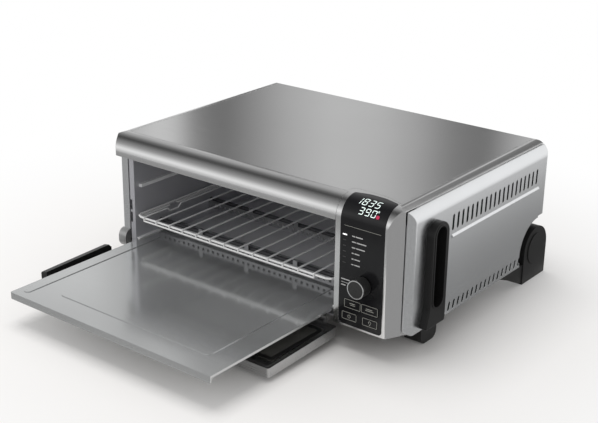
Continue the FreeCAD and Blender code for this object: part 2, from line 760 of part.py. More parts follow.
def key_windows(gap):
    """Openings for the keys, grown by the gap, as upright blocks through the panel."""
    wide_mid = (WIDE_KEY_L + WIDE_KEY_R) / 2
    spans = [
        (WIDE_KEY_L, wide_mid - WIDE_KEY_SPLIT / 2, WIDE_KEY_TOP - WIDE_KEY_H, WIDE_KEY_TOP),
        (wide_mid + WIDE_KEY_SPLIT / 2, WIDE_KEY_R, WIDE_KEY_TOP - WIDE_KEY_H, WIDE_KEY_TOP),
    ]
    for x in SMALL_KEY_XS:
        spans.append((x - SMALL_KEY_W / 2, x + SMALL_KEY_W / 2, SMALL_KEY_TOP - SMALL_KEY_H, SMALL_KEY_TOP))
    blocks = []
    for x0, x1, z0, z1 in spans:
        blocks.append(rounded_box(x0 - gap, x1 + gap, -6, GLASS_T + 6, z0 - gap, z1 + gap, KEY_R + gap, "XZ"))
    return spans, blocks


def control_bezel():
    """Metal frame of the control panel with the pocket that the glass lies in."""
    right = FLANK_W / 2 - GROOVE / 2
    shell = casing_shell(0, PANEL_SKIN)
    front = shell.common(box(PANEL_LEFT, right, -1, NOSE_R + SEAM / 2, PANEL_BOTTOM, FAR))
    crown = shell.common(crown_region(0)).common(box(0, FAR, NOSE_R, FAR, CASE_TOP - PANEL_SKIN, FAR))
    lip = casing_shell(SKIN + 0.2, PANEL_SKIN).common(
        box(right - 2, CASE_W / 2, FLANK_Y - 6, NOSE_R + SEAM / 2, PANEL_BOTTOM, CASE_TOP - SHOULDER_R))
    solid = casing_form(0)
    floor = solid.common(box(PANEL_LEFT, right, 0, FRAME_Y, PANEL_BOTTOM, PANEL_BOTTOM + SKIN))
    cheek = solid.common(box(PANEL_LEFT, PANEL_LEFT + SKIN, 0, FRAME_Y + FRAME_T, PANEL_BOTTOM, CASE_TOP - SKIN))
    bezel = fuse_all([front, crown, lip, floor, cheek])
    pocket = casing_shell(-GLASS_PROUD - 2, GLASS_T - GLASS_PROUD + PRESS_FIT).common(glass_region(FIT))
    holes = [pocket]
    for block in key_windows(KEY_GAP)[1]:
        holes.append(block)
    holes.append(rod((KNOB_X, -5, KNOB_Z), (0, 1, 0), SHAFT_R + SHAFT_HOLE_GAP, 20))
    holes.append(box(WINDOW_X0, WINDOW_X1, -5, NOSE_R - 1, WINDOW_Z0, WINDOW_Z1))
    holes.append(box(LIGHT_X - LIGHT_W / 2, LIGHT_X + LIGHT_W / 2, -5, 10,
                     LIGHT_Z - LIGHT_H / 2, LIGHT_Z + LIGHT_H / 2))
    return bezel.cut(group(holes))


def control_glass():
    sheet = casing_form(-GLASS_PROUD).cut(casing_form(GLASS_T - GLASS_PROUD))
    sheet = sheet.common(glass_region(0))
    holes = key_windows(KEY_GAP)[1]
    holes.append(rod((KNOB_X, -5, KNOB_Z), (0, 1, 0), SHAFT_R + SHAFT_HOLE_GAP, 20))
    return sheet.cut(group(holes))


def key_cap(index):
    """One key: a cap in the glass with a stem to its switch."""
    x0, x1, z0, z1 = key_windows(0)[0][index]
    front = -GLASS_PROUD - KEY_PROUD
    cap = rounded_box(x0, x1, front, PANEL_SKIN, z0, z1, KEY_R, "XZ")
    stem = rod(((x0 + x1) / 2, PANEL_SKIN, (z0 + z1) / 2), (0, 1, 0), KEY_STEM_R,
               BOARD_Y - SWITCH_W / 2 - KEY_TRAVEL - FIT - PANEL_SKIN)
    return fuse_all([cap, stem])


def control_board():
    """Circuit board with one switch under each key, standing off the back of the bezel."""
    board = box(GLASS_LEFT, GLASS_RIGHT - BOARD_MARGIN, BOARD_Y, BOARD_Y + BOARD_T,
                PANEL_BOTTOM + BOARD_MARGIN, WINDOW_Z0 - BOARD_MARGIN)
    solids = [board]
    for x0, x1, z0, z1 in key_windows(0)[0]:
        x = (x0 + x1) / 2
        z = (z0 + z1) / 2
        solids.append(box(x - SWITCH_W / 2, x + SWITCH_W / 2, BOARD_Y - SWITCH_W / 2, BOARD_Y,
                          z - SWITCH_W / 2, z + SWITCH_W / 2))
    for x in BOARD_POST_XS:
        for z in BOARD_POST_ZS:
            solids.append(rod((x, PANEL_SKIN, z), (0, 1, 0), BOARD_POST_R, BOARD_Y - PANEL_SKIN))
    return fuse_all(solids)


def knob_encoder():
    """Rotary switch on the board, with the bushing that carries the knob's shaft."""
    half = ENCODER_W / 2
    body = box(KNOB_X - half, KNOB_X + half, BOARD_Y - ENCODER_D, BOARD_Y, KNOB_Z - half, KNOB_Z + half)
    neck = rod((KNOB_X, PANEL_SKIN + 1, KNOB_Z), (0, 1, 0), SHAFT_R + ENCODER_NECK_WALL,
               BOARD_Y - ENCODER_D - PANEL_SKIN - 1)
    bore = rod((KNOB_X, 0, KNOB_Z), (0, 1, 0), SHAFT_R + SLIDE_FIT, BOARD_Y - 1)
    return fuse_all([body, neck]).cut(bore)


def display_module():
    """Number display and the light pipe beside it, behind the glass."""
    front = GLASS_T - GLASS_PROUD + PIPE_GAP
    block = casing_form(GLASS_T + DISPLAY_GAP).common(
        box(WINDOW_X0 + FIT, WINDOW_X1 - FIT, 0, NOSE_R - 1 - FIT, WINDOW_Z0 + FIT, WINDOW_Z1 - FIT))
    block = block.cut(casing_form(GLASS_T + DISPLAY_GAP + DISPLAY_D))
    half_w = LIGHT_W / 2 - PIPE_GAP
    half_h = LIGHT_H / 2 - PIPE_GAP
    pipe = box(LIGHT_X - half_w, LIGHT_X + half_w, front, BOARD_Y, LIGHT_Z - half_h, LIGHT_Z + half_h)
    return group([block, pipe])


def knob_plunger():
    """Shaft that the knob turns on, and that is pushed in to press the switch."""
    back = BOARD_Y - 1 - KNOB_PUSH - FIT
    front = -KNOB_REACH + KNOB_WALL + 1 + FIT
    return rod((KNOB_X, front, KNOB_Z), (0, 1, 0), SHAFT_R, back - front)


def knob_cap():
    """Black knob, stepped at the front for the bright ring, hollow round the bore for the shaft."""
    back = -GLASS_PROUD - KNOB_STANDOFF
    front = -KNOB_REACH
    floor = front + KNOB_WALL + 1
    grip = rod((KNOB_X, front + KNOB_RING_L, KNOB_Z), (0, 1, 0), KNOB_R, back - front - KNOB_RING_L)
    nose = rod((KNOB_X, front, KNOB_Z), (0, 1, 0), KNOB_R - KNOB_RING_W, KNOB_RING_L + 1)
    nose = nose.makeFillet(KNOB_EDGE_R, [edge for edge in nose.Edges if abs(edge.CenterOfMass.y - front) < 0.01])
    hollow = ring((KNOB_X, floor, KNOB_Z), (0, 1, 0), KNOB_R - KNOB_RING_W - KNOB_WALL, SHAFT_R + 2, back - front)
    bore = rod((KNOB_X, floor, KNOB_Z), (0, 1, 0), SHAFT_R + SLIDE_FIT, back - front)
    return fuse_all([grip, nose]).cut(group([hollow, bore]))


def knob_ring():
    """Bright ring round the front edge of the knob."""
    return ring((KNOB_X, -KNOB_REACH, KNOB_Z), (0, 1, 0), KNOB_R, KNOB_R - KNOB_RING_W + PRESS_FIT,
                KNOB_RING_L - PRESS_FIT)


# Cavity
def front_frame():
    """Sheet frame round the mouth of the cavity, with the catch notches in its left stile."""
    y1 = FRAME_Y + FRAME_T
    outer = box(CAVITY_LEFT - FRAME_STILE, CAVITY_RIGHT + FRAME_STILE - PANEL_SKIN + 1, FRAME_Y, y1,
                FRAME_BOTTOM, FRAME_TOP)
    mouth = box(CAVITY_LEFT, CAVITY_RIGHT, FRAME_Y - 1, y1 + 1, CAVITY_FLOOR, FRAME_OPEN_TOP)
    cuts = [mouth]
    for z in FRAME_NOTCH_ZS:
        x0 = CAVITY_LEFT - FRAME_STILE
        cuts.append(box(x0 - 1, x0 + FRAME_NOTCH_W, FRAME_Y - 1, y1 + 1, z, z + FRAME_NOTCH_H))
    return outer.cut(group(cuts))


def rod_holes(x, height, radius):
    return [rod((x, y, height), (1, 0, 0), radius, 20) for y in ROD_YS]


def liner_floor():
    return box(CAVITY_LEFT, CAVITY_RIGHT, FRAME_Y + FRAME_T, CAVITY_BACK, CAVITY_FLOOR - LINER_T, CAVITY_FLOOR)


def liner_top():
    return box(CAVITY_LEFT, CAVITY_RIGHT, FRAME_Y + FRAME_T, CAVITY_BACK, CAVITY_TOP, CAVITY_TOP + LINER_T)


def liner_side(x0):
    wall = box(x0, x0 + LINER_T, FRAME_Y + FRAME_T, CAVITY_BACK + LINER_T,
               CAVITY_FLOOR - LINER_T, CAVITY_TOP + LINER_T)
    holes = rod_holes(x0 - 10, LOWER_ROD_Z, ROD_R + PRESS_FIT) + rod_holes(x0 - 10, UPPER_ROD_Z, ROD_R + PRESS_FIT)
    return wall.cut(group(holes))


def liner_left():
    return liner_side(CAVITY_LEFT - LINER_T)


def liner_right():
    wall = liner_side(CAVITY_RIGHT)
    return wall.cut(rod((CAVITY_RIGHT - 5, FAN_Y, FAN_Z), (1, 0, 0), FAN_BOX_R - FAN_FLANGE / 2, 20))


def liner_back():
    return box(CAVITY_LEFT, CAVITY_RIGHT, CAVITY_BACK, CAVITY_BACK + LINER_T,
               CAVITY_FLOOR - LINER_T, CAVITY_TOP + LINER_T)


def side_ledges():
    """Rack ledges, upper ledges and tray guides on both side walls, each its own strip."""
    ledge_top = RACK_Z - RACK_FRAME_R - FIT
    strips = []
    for wall, way in ((CAVITY_LEFT, 1), (CAVITY_RIGHT, -1)):
        def strip(out, y0, y1, z0, z1):
            a, b = sorted((wall, wall + way * out))
            strips.append(box(a, b, y0, y1, z0, z1))
        for y0, y1 in LEDGE_SPANS:
            strip(LEDGE_OUT, y0, y1, ledge_top - LEDGE_T, ledge_top)
        strip(UPPER_LEDGE_OUT, UPPER_LEDGE_SPAN[0], UPPER_LEDGE_SPAN[1], UPPER_LEDGE_Z - UPPER_LEDGE_T / 2,
              UPPER_LEDGE_Z + UPPER_LEDGE_T / 2)
        guide_z = TRAY_TOP + FIT
        strip(TRAY_GUIDE_OUT, FRAME_Y + FRAME_T, FRAME_Y + FRAME_T + TRAY_GUIDE_D, guide_z,
              guide_z + TRAY_GUIDE_T)
    round_guard = rod((CAVITY_RIGHT - LEDGE_OUT - 1, FAN_Y, FAN_Z), (1, 0, 0), FAN_GUARD_R + FIT, LEDGE_OUT + 1)
    return group([solid for strip_shape in strips for solid in strip_shape.cut(round_guard).Solids])


def rod_guards():
    """Upright perforated strips in front of the lower rods, held by the side walls."""
    strips = []
    for y in ROD_YS[:2]:
        y0 = y - GUARD_Y_BACKSET - GUARD_T
        strip = box(CAVITY_LEFT, CAVITY_RIGHT, y0, y0 + GUARD_T, GUARD_Z0, GUARD_Z1)
        holes = []
        count = int((CAVITY_RIGHT - CAVITY_LEFT - 2 * GUARD_HOLE_PITCH) / GUARD_HOLE_PITCH)
        for i in range(count):
            x = CAVITY_LEFT + GUARD_HOLE_PITCH * (i + 1.5)
            z = (GUARD_Z0 + GUARD_Z1) / 2
            holes.append(rod((x, y0 - 1, z), (0, 1, 0), GUARD_HOLE_R, GUARD_T + 2))
        strip = strip.cut(group(holes))
        tabs = [strip]
        for x in GUARD_TAB_XS:
            tabs.append(box(x - GUARD_TAB_W / 2, x + GUARD_TAB_W / 2, y0, y0 + GUARD_T, GUARD_Z1 - 1,
                            GUARD_Z1 + GUARD_TAB_H))
        strips.append(fuse_all(tabs))
    return group(strips)


def heating_rods(height):
    length = CAVITY_RIGHT - CAVITY_LEFT + 2 * ROD_TERMINAL
    return group([rod((CAVITY_LEFT - ROD_TERMINAL, y, height), (1, 0, 0), ROD_R, length) for y in ROD_YS])


def rod_insulators():
    """Ceramic washers outside the side walls, one at each end of each rod."""
    washers = []
    for height in (LOWER_ROD_Z, UPPER_ROD_Z):
        for y in ROD_YS:
            for x in (CAVITY_LEFT - LINER_T - INSULATOR_T, CAVITY_RIGHT + LINER_T):
                washers.append(ring((x, y, height), (1, 0, 0), INSULATOR_R, ROD_R + PRESS_FIT, INSULATOR_T))
    return group(washers)


def thermostat_probe():
    """Thin temperature bulb held off the right wall by two clips."""
    x = CAVITY_RIGHT - PROBE_OFF
    bulb = rod((x, PROBE_Y0, PROBE_Z), (0, 1, 0), PROBE_R, PROBE_Y1 - PROBE_Y0)
    clips = [bulb]
    reach = PROBE_R + 1
    for y in (PROBE_Y0 + PROBE_CLIP_INSET, PROBE_Y1 - PROBE_CLIP_INSET):
        clips.append(box(x - reach, CAVITY_RIGHT, y - PROBE_CLIP_W / 2, y + PROBE_CLIP_W / 2,
                         PROBE_Z - reach, PROBE_Z + reach))
    return fuse_all(clips)


# Fan
def fan_guard():
    """Slotted disc inside the right wall, in front of the fan."""
    disc = rod((CAVITY_RIGHT - FAN_GUARD_T, FAN_Y, FAN_Z), (1, 0, 0), FAN_GUARD_R, FAN_GUARD_T)
    slots = []
    reach = FAN_GUARD_R - FAN_GUARD_RIM
    count = int(2 * reach / FAN_SLOT_PITCH)
    for i in range(count + 1):
        z = (i - count / 2) * FAN_SLOT_PITCH
        half = math.sqrt(max(reach * reach - z * z, 0))
        if half < FAN_SLOT_W * 1.5:
            continue
        slots.append(rounded_box(CAVITY_RIGHT - 5, CAVITY_RIGHT + 5, FAN_Y - half, FAN_Y + half,
                                 FAN_Z + z - FAN_SLOT_W / 2, FAN_Z + z + FAN_SLOT_W / 2,
                                 FAN_SLOT_W / 2 - 0.01, "YZ"))
    return disc.cut(group(slots))


def fan_housing():
    """Round box outside the right wall that the fan turns in."""
    x0 = CAVITY_RIGHT + LINER_T
    flange = ring((x0, FAN_Y, FAN_Z), (1, 0, 0), FAN_BOX_R + FAN_FLANGE, FAN_BOX_R, 1)
    wall = ring((x0, FAN_Y, FAN_Z), (1, 0, 0), FAN_BOX_R + 1, FAN_BOX_R, FAN_BOX_DEPTH)
    end = rod((x0 + FAN_BOX_DEPTH - 1, FAN_Y, FAN_Z), (1, 0, 0), FAN_BOX_R + 0.5, 1)
    hole = rod((x0, FAN_Y, FAN_Z), (1, 0, 0), FAN_SHAFT_R + 1.5, FAN_BOX_DEPTH + 5)
    return fuse_all([flange, wall, end]).cut(hole)


def fan_blade():
    """Radial blades on a hub, with the shaft that runs in the motor."""
    x0 = CAVITY_RIGHT + LINER_T + FAN_GAP
    hub = rod((x0, FAN_Y, FAN_Z), (1, 0, 0), FAN_HUB_R, FAN_BLADE_T)
    disc = rod((x0 + FAN_BLADE_W - FAN_BLADE_T, FAN_Y, FAN_Z), (1, 0, 0), FAN_R - 6, FAN_BLADE_T)
    core = rod((x0, FAN_Y, FAN_Z), (1, 0, 0), FAN_SHAFT_R + 2, FAN_BLADE_W)
    solids = [hub, disc, core]
    for i in range(FAN_BLADES):
        blade = box(x0, x0 + FAN_BLADE_W, FAN_Y + FAN_HUB_R - 3, FAN_Y + FAN_R,
                    FAN_Z - FAN_BLADE_T / 2, FAN_Z + FAN_BLADE_T / 2)
        blade.rotate(VEC(x0, FAN_Y, FAN_Z), VEC(1, 0, 0), 360.0 * i / FAN_BLADES)
        solids.append(blade)
    motor_x = CAVITY_RIGHT + LINER_T + FAN_BOX_DEPTH
    solids.append(rod((x0, FAN_Y, FAN_Z), (1, 0, 0), FAN_SHAFT_R, motor_x + MOTOR_L - 4 - x0))
    return fuse_all(solids)


def fan_motor():
    x0 = CAVITY_RIGHT + LINER_T + FAN_BOX_DEPTH
    body = rod((x0, FAN_Y, FAN_Z), (1, 0, 0), MOTOR_R, MOTOR_L)
    core = box(x0 + 6, x0 + MOTOR_L - 6, FAN_Y - MOTOR_R - 6, FAN_Y + MOTOR_R + 6, FAN_Z - 10, FAN_Z + 10)
    bore = rod((x0 - 1, FAN_Y, FAN_Z), (1, 0, 0), FAN_SHAFT_R + SLIDE_FIT, MOTOR_L - 2)
    return fuse_all([body, core]).cut(bore)


def power_board():
    """Main board with its relays, on two posts that stand on the floor pan."""
    board = box(POWER_BOARD_X, POWER_BOARD_X + BOARD_T, POWER_BOARD_Y0, POWER_BOARD_Y1,
                POWER_BOARD_Z0, POWER_BOARD_Z1)
    solids = [board]
    long_x, long_y, long_z = RELAY_SIZE
    inset = POWER_POST_INSET
    for i in range(RELAY_COUNT):
        y = POWER_BOARD_Y0 + 2 * inset + i * (long_y + RELAY_GAP)
        solids.append(box(POWER_BOARD_X - long_x, POWER_BOARD_X, y, y + long_y, POWER_BOARD_Z0 + inset,
                          POWER_BOARD_Z0 + inset + long_z))
    for y in (POWER_BOARD_Y0 + inset, POWER_BOARD_Y1 - inset - POWER_POST_D):
        solids.append(box(POWER_BOARD_X, POWER_BOARD_X + POWER_POST_T, y, y + POWER_POST_D,
                          CASE_BOTTOM + SKIN, POWER_BOARD_Z0 + 2 * inset))
    return fuse_all(solids)


# Door
def swing_open(shape):
    """Turn a piece drawn in the closed pose to the open pose."""
    moved = shape.copy()
    moved.rotate(VEC(0, HINGE_Y, HINGE_Z), VEC(1, 0, 0), CLOSED_SWING)
    return moved


def door_opening(gap, y0, y1):
    return rounded_box(DOOR_LEFT + DOOR_LEFT_STILE - gap, DOOR_RIGHT - DOOR_STILE + gap, y0, y1,
                       DOOR_BOTTOM + DOOR_RAIL - gap, DOOR_TOP - DOOR_RAIL + gap, WINDOW_R + gap, "XZ")


def door_frame():
    """Rails and stiles round the window, with a fine groove round the inner face."""
    slab = rounded_box(DOOR_LEFT, DOOR_RIGHT, 0, DOOR_T, DOOR_BOTTOM, DOOR_TOP, DOOR_CORNER_R, "XZ")
    slab = slab.cut(door_opening(0, -1, DOOR_T + 1))
    inset = DOOR_GROOVE_INSET
    outer = rounded_box(DOOR_LEFT + inset, DOOR_RIGHT - inset, DOOR_T - DOOR_GROOVE_D, DOOR_T + 1,
                        DOOR_BOTTOM + inset, DOOR_TOP - inset, DOOR_CORNER_R, "XZ")
    inset += DOOR_GROOVE_W
    inner = rounded_box(DOOR_LEFT + inset, DOOR_RIGHT - inset, DOOR_T - 2 * DOOR_GROOVE_D, DOOR_T + 2,
                        DOOR_BOTTOM + inset, DOOR_TOP - inset, DOOR_CORNER_R, "XZ")
    return swing_open(slab.cut(outer.cut(inner)))


def door_glass():
    """Inner and outer pane, held in the window of the frame."""
    inner = door_opening(-PRESS_FIT, DOOR_T - DOOR_GLASS_SINK - DOOR_GLASS_T, DOOR_T - DOOR_GLASS_SINK)
    outer = door_opening(-PRESS_FIT, DOOR_GLASS_SINK, DOOR_GLASS_SINK + DOOR_GLASS_T)
    return swing_open(group([inner, outer]))


def door_grip():
    """Bar on the left end of the door, slanting at the back and hollowed to pass the hinge cover."""
    bar = prism((
        (DOOR_LEFT, GRIP_FRONT),
        (DOOR_LEFT, GRIP_INNER_Y),
        (DOOR_LEFT - GRIP_W, GRIP_OUTER_Y),
        (DOOR_LEFT - GRIP_W, GRIP_FRONT),
    ), "XY", GRIP_BOTTOM, GRIP_TOP)
    edges = [edge for edge in bar.Edges if edge.CenterOfMass.x < DOOR_LEFT - 0.01]
    bar = bar.makeFillet(GRIP_R, edges)
    cover = (DOOR_LEFT - 2 * GRIP_W, HINGE_COVER_Y + HINGE_COVER_R, RECESS_BOTTOM - HINGE_COVER_R)
    return swing_open(bar.cut(rod(cover, (1, 0, 0), HINGE_COVER_R + GRIP_CLEAR, 4 * GRIP_W)))


def door_hinge_arms():
    """Knuckles on the pins, each with a web up to the bottom edge of the door."""
    arms = []
    for x in HINGE_XS:
        web = prism((
            (HINGE_WEB_Y, DOOR_BOTTOM),
            (DOOR_T - 0.1, DOOR_BOTTOM),
            (HINGE_Y - 1.7, HINGE_Z + KNUCKLE_R - 0.4),
            (HINGE_Y, HINGE_Z + KNUCKLE_R - 0.1),
            (HINGE_Y, HINGE_Z - KNUCKLE_R + 0.1),
            (HINGE_WEB_Y, HINGE_Z + 1.2),
        ), "YZ", x - KNUCKLE_W / 2, x + KNUCKLE_W / 2)
        knuckle = rod((x - KNUCKLE_W / 2, HINGE_Y, HINGE_Z), (1, 0, 0), KNUCKLE_R, KNUCKLE_W)
        bore = rod((x - KNUCKLE_W, HINGE_Y, HINGE_Z), (1, 0, 0), HINGE_PIN_R + SLIDE_FIT, 2 * KNUCKLE_W)
        arms.append(swing_open(fuse_all([web, knuckle]).cut(bore)))
    return group(arms)


def hinge_brackets():
    """Clevis under the front edge of the floor pan for each hinge arm."""
    clevises = []
    half = KNUCKLE_W / 2 + FIT
    for x in HINGE_XS:
        solids = []
        for x0 in (x - half - EAR_T, x + half):
            solids.append(rod((x0, HINGE_Y, HINGE_Z), (1, 0, 0), EAR_R, EAR_T))
            solids.append(box(x0, x0 + EAR_T, HINGE_Y - EAR_FRONT, HINGE_Y + EAR_R + EAR_BACK,
                              HINGE_Z, CASE_BOTTOM))
        solids.append(box(x - half - EAR_T, x + half + EAR_T, HINGE_Y + EAR_R + FIT,
                          HINGE_Y + BRACKET_D, CASE_BOTTOM - BRACKET_T, CASE_BOTTOM))
        bore = rod((x - KNUCKLE_W, HINGE_Y, HINGE_Z), (1, 0, 0), HINGE_PIN_R + PRESS_FIT, 2 * KNUCKLE_W)
        clevises.append(fuse_all(solids).cut(bore))
    return group(clevises)


def hinge_pins():
    half = KNUCKLE_W / 2 + FIT + EAR_T + PIN_END
    return group([rod((x - half, HINGE_Y, HINGE_Z), (1, 0, 0), HINGE_PIN_R, 2 * half) for x in HINGE_XS])


def hinge_cover():
    """Rounded cap over the end of the hinge line, under the recess for the grip."""
    left = -CASE_W / 2 + 0.2
    right = -CASE_W / 2 + RECESS_FLANGE
    bulge = rounded_box(left, right, HINGE_COVER_Y, HINGE_COVER_Y + 3 * HINGE_COVER_R, HINGE_COVER_Z,
                        RECESS_BOTTOM, HINGE_COVER_R, "YZ")
    bulge = bulge.common(box(-FAR, FAR, -FAR, RECESS_Y, -FAR, FAR))
    foot = box(left, right, RECESS_Y - 1, RECESS_Y + HINGE_COVER_D, HINGE_COVER_Z, CASE_BOTTOM)
    return fuse_all([bulge, foot])


# Crumb tray
def crumb_tray():
    """Flat tray with a turned-down front lip, a shallow raised field and a rib along its left edge."""
    y0 = TRAY_FRONT
    y1 = TRAY_FRONT + CAVITY_BACK - TRAY_BACK_GAP - TRAY_HOME
    low = TRAY_TOP - TRAY_T
    plate = rounded_box(TRAY_LEFT, TRAY_RIGHT, y0, y1, low, TRAY_TOP, TRAY_CORNER_R, "XY")
    skirt = rounded_box(TRAY_LEFT, TRAY_RIGHT, y0, y1, TRAY_TOP - TRAY_LIP, low, TRAY_CORNER_R, "XY")
    skirt = skirt.cut(rounded_box(TRAY_LEFT + TRAY_T, TRAY_RIGHT - TRAY_T, y0 + TRAY_T, y1 - TRAY_T,
                                  0, TRAY_TOP, TRAY_CORNER_R - TRAY_T, "XY"))
    skirt = skirt.cut(box(-FAR, FAR, y0 + TRAY_CORNER_R, FAR, 0, TRAY_TOP - TRAY_HEM))
    x0 = TRAY_LEFT + PAN_LEFT_INSET
    x1 = TRAY_RIGHT - PAN_RIGHT_INSET
    y2 = y0 + PAN_FRONT_INSET
    y3 = y1 - PAN_FRONT_INSET
    field = rounded_box(x0, x1, y2, y3, low, TRAY_TOP + PAN_RISE, PAN_R, "XY")
    hollow = rounded_box(x0 + TRAY_T, x1 - TRAY_T, y2 + TRAY_T, y3 - TRAY_T, low - 1,
                         low + PAN_RISE, PAN_R - TRAY_T, "XY")
    rib = rounded_box(RIB_X - RIB_W / 2, RIB_X + RIB_W / 2, y0 + RIB_FRONT_INSET, y1 - RIB_BACK_INSET,
                      low, TRAY_TOP + RIB_H, RIB_W / 2 - 0.01, "XY")
    return fuse_all([plate, skirt, field, rib]).cut(hollow)


# Wire rack
def wire_rack():
    """Welded rack: a round frame wire, bars from front to back and a second wire low at the front."""
    frame_front = RACK_FRONT + RACK_FRAME_R + RACK_WIRE_R - RACK_WELD
    back = CAVITY_BACK - RACK_BACK_GAP
    high = RACK_Z + RACK_FRAME_R + RACK_WIRE_R - RACK_WELD
    low = RACK_Z - RACK_APRON_DROP
    corner = RACK_CORNER_R
    frame = rods_along([
        (RACK_LEFT + corner, frame_front, RACK_Z),
        (RACK_RIGHT - corner, frame_front, RACK_Z),
        (RACK_RIGHT - corner / 3, frame_front + corner / 3, RACK_Z),
        (RACK_RIGHT, frame_front + corner, RACK_Z),
        (RACK_RIGHT, back - corner, RACK_Z),
        (RACK_RIGHT - corner / 3, back - corner / 3, RACK_Z),
        (RACK_RIGHT - corner, back, RACK_Z),
        (RACK_LEFT + corner, back, RACK_Z),
        (RACK_LEFT + corner / 3, back - corner / 3, RACK_Z),
        (RACK_LEFT, back - corner, RACK_Z),
        (RACK_LEFT, frame_front + corner, RACK_Z),
        (RACK_LEFT + corner / 3, frame_front + corner / 3, RACK_Z),
        (RACK_LEFT + corner, frame_front, RACK_Z),
    ], RACK_FRAME_R)
    wires = [frame]
    pitch = (RACK_LAST_X - RACK_FIRST_X) / (RACK_COUNT - 1)
    for i in range(RACK_COUNT):
        x = RACK_FIRST_X + i * pitch
        wires.append(rods_along([(x, back, high), (x, RACK_FRONT, high), (x, RACK_FRONT, low)], RACK_WIRE_R))
    k0, k1 = RACK_KINK
    drop = high - RACK_KINK_DROP
    wires.append(rods_along([
        (RACK_SIDE_X, back, high),
        (RACK_SIDE_X, k1, high),
        (RACK_SIDE_X, k1 - RACK_KINK_RUN, drop),
        (RACK_SIDE_X, k0 + RACK_KINK_RUN, drop),
        (RACK_SIDE_X, k0, high),
        (RACK_SIDE_X, RACK_FRONT, high),
        (RACK_SIDE_X, RACK_FRONT, low),
    ], RACK_WIRE_R))
    wires.append(rods_along([(RACK_SIDE_X, RACK_FRONT, low), (RACK_LAST_X, RACK_FRONT, low)], RACK_WIRE_R))
    wires.append(rods_along([(RACK_LEFT, RACK_BRACE_Y, RACK_Z), (RACK_RIGHT, RACK_BRACE_Y, RACK_Z)], RACK_FRAME_R))
    return fuse_all(wires)


# Handles and feet
def side_handle():
    """Right handle: a raised loop outside the panel and a finger pocket that goes in through it."""
    face = CASE_W / 2
    loop = prism(handle_outline(), "YZ", face, face + HANDLE_OUT)
    rim_edges = [edge for edge in loop.Edges if edge.BoundBox.XMin > face + HANDLE_OUT - 0.01]
    loop = loop.makeFillet(HANDLE_EDGE_R, rim_edges)
    pocket = prism(slot_outline(POCKET_WALL), "YZ", face + HANDLE_OUT + HANDLE_RIM_H - SLOT_DEPTH - POCKET_WALL,
                   face + HANDLE_OUT - 1)
    rim = prism(slot_outline(HANDLE_RIM_W), "YZ", face + HANDLE_OUT - 1, face + HANDLE_OUT + HANDLE_RIM_H)
    slot = prism(slot_outline(0), "YZ", face + HANDLE_OUT + HANDLE_RIM_H - SLOT_DEPTH, face + SLOT_DEPTH)
    return fuse_all([loop, pocket, rim]).cut(slot)


def front_foot():
    """Right front foot, with a rounded sole, under the casing below the handle."""
    foot = prism((
        (FRONT_FOOT_Y0, 0, FRONT_FOOT_R),
        (FRONT_FOOT_Y1, 0, FRONT_FOOT_R),
        (FRONT_FOOT_Y1, CASE_BOTTOM),
        (FRONT_FOOT_Y0, CASE_BOTTOM),
    ), "YZ", FRONT_FOOT_X0, FRONT_FOOT_X1)
    return foot


def rear_bumper(x):
    """Block on the back that the casing stands on when it is tipped up."""
    return rounded_box(x - BUMPER_W / 2, x + BUMPER_W / 2, CASE_D, BUMPER_BACK, BUMPER_Z0, BUMPER_Z1,
                       BUMPER_R, "XZ")


# Rear stand
def rear_foot():
    """Right rear foot: a round-topped flange on the pivot with a long toe under the casing."""
    base = PAD_T - PAD_SINK
    disc = rod((STAND_INNER_X, PIVOT_Y, PIVOT_Z), (1, 0, 0), STAND_FLANGE_R, STAND_OUTER_X - STAND_INNER_X)
    leg = box(STAND_INNER_X, STAND_OUTER_X, PIVOT_Y - STAND_FLANGE_R, PIVOT_Y + STAND_FLANGE_R, base, PIVOT_Z)
    top = CASE_BOTTOM - FIT
    toe_points = [(STAND_TOE_Y, top)] + list(STAND_TOE_CURVE)
    toe_points += [(STAND_TOE_END, base), (PIVOT_Y, base), (PIVOT_Y, top)]
    toe = prism(toe_points, "YZ", STAND_INNER_X, CASE_W / 2 - TOE_SIDE_GAP)
    leaf = rod((STAND_OUTER_X, PIVOT_Y, PIVOT_Z), (1, 0, 0), STAND_DISC_R, STAND_DISC_T)
    foot = fuse_all([disc, leg, toe, leaf])
    shaft_hole = rod((STAND_INNER_X - 1, PIVOT_Y, PIVOT_Z), (1, 0, 0), FLIP_SHAFT_R + PRESS_FIT, SHAFT_SEAT + 1)
    pad_hole = box(STAND_INNER_X + PAD_INSET_X - PRESS_FIT, STAND_OUTER_X - PAD_INSET_X + PRESS_FIT,
                   PAD_Y0 - PRESS_FIT, PAD_Y1 + PRESS_FIT, 0, PAD_T)
    return foot.cut(group([shaft_hole, pad_hole]))


def rear_foot_pad():
    return box(STAND_INNER_X + PAD_INSET_X, STAND_OUTER_X - PAD_INSET_X, PAD_Y0, PAD_Y1, 0, PAD_T)


def flip_shaft():
    reach = STAND_INNER_X + SHAFT_SEAT
    return rod((-reach, PIVOT_Y, PIVOT_Z), (1, 0, 0), FLIP_SHAFT_R, 2 * reach)


def pivot_carrier():
    """Right steel cheek inside the casing that the casing hangs on the shaft by."""
    edge = STAND_INNER_X - STAND_CLEAR - SEAM
    plate = prism((
        (CARRIER_FRONT, CASE_BOTTOM + SKIN),
        (CASE_D - SKIN, CASE_BOTTOM + SKIN),
        (CASE_D - SKIN, CARRIER_TOP, 6),
        (CARRIER_FRONT, CARRIER_TOP - CARRIER_SLOPE, 12),
    ), "YZ", edge - CARRIER_T, edge)
    return plate.cut(rod((edge - 10, PIVOT_Y, PIVOT_Z), (1, 0, 0), BUSH_R + PRESS_FIT, 20))


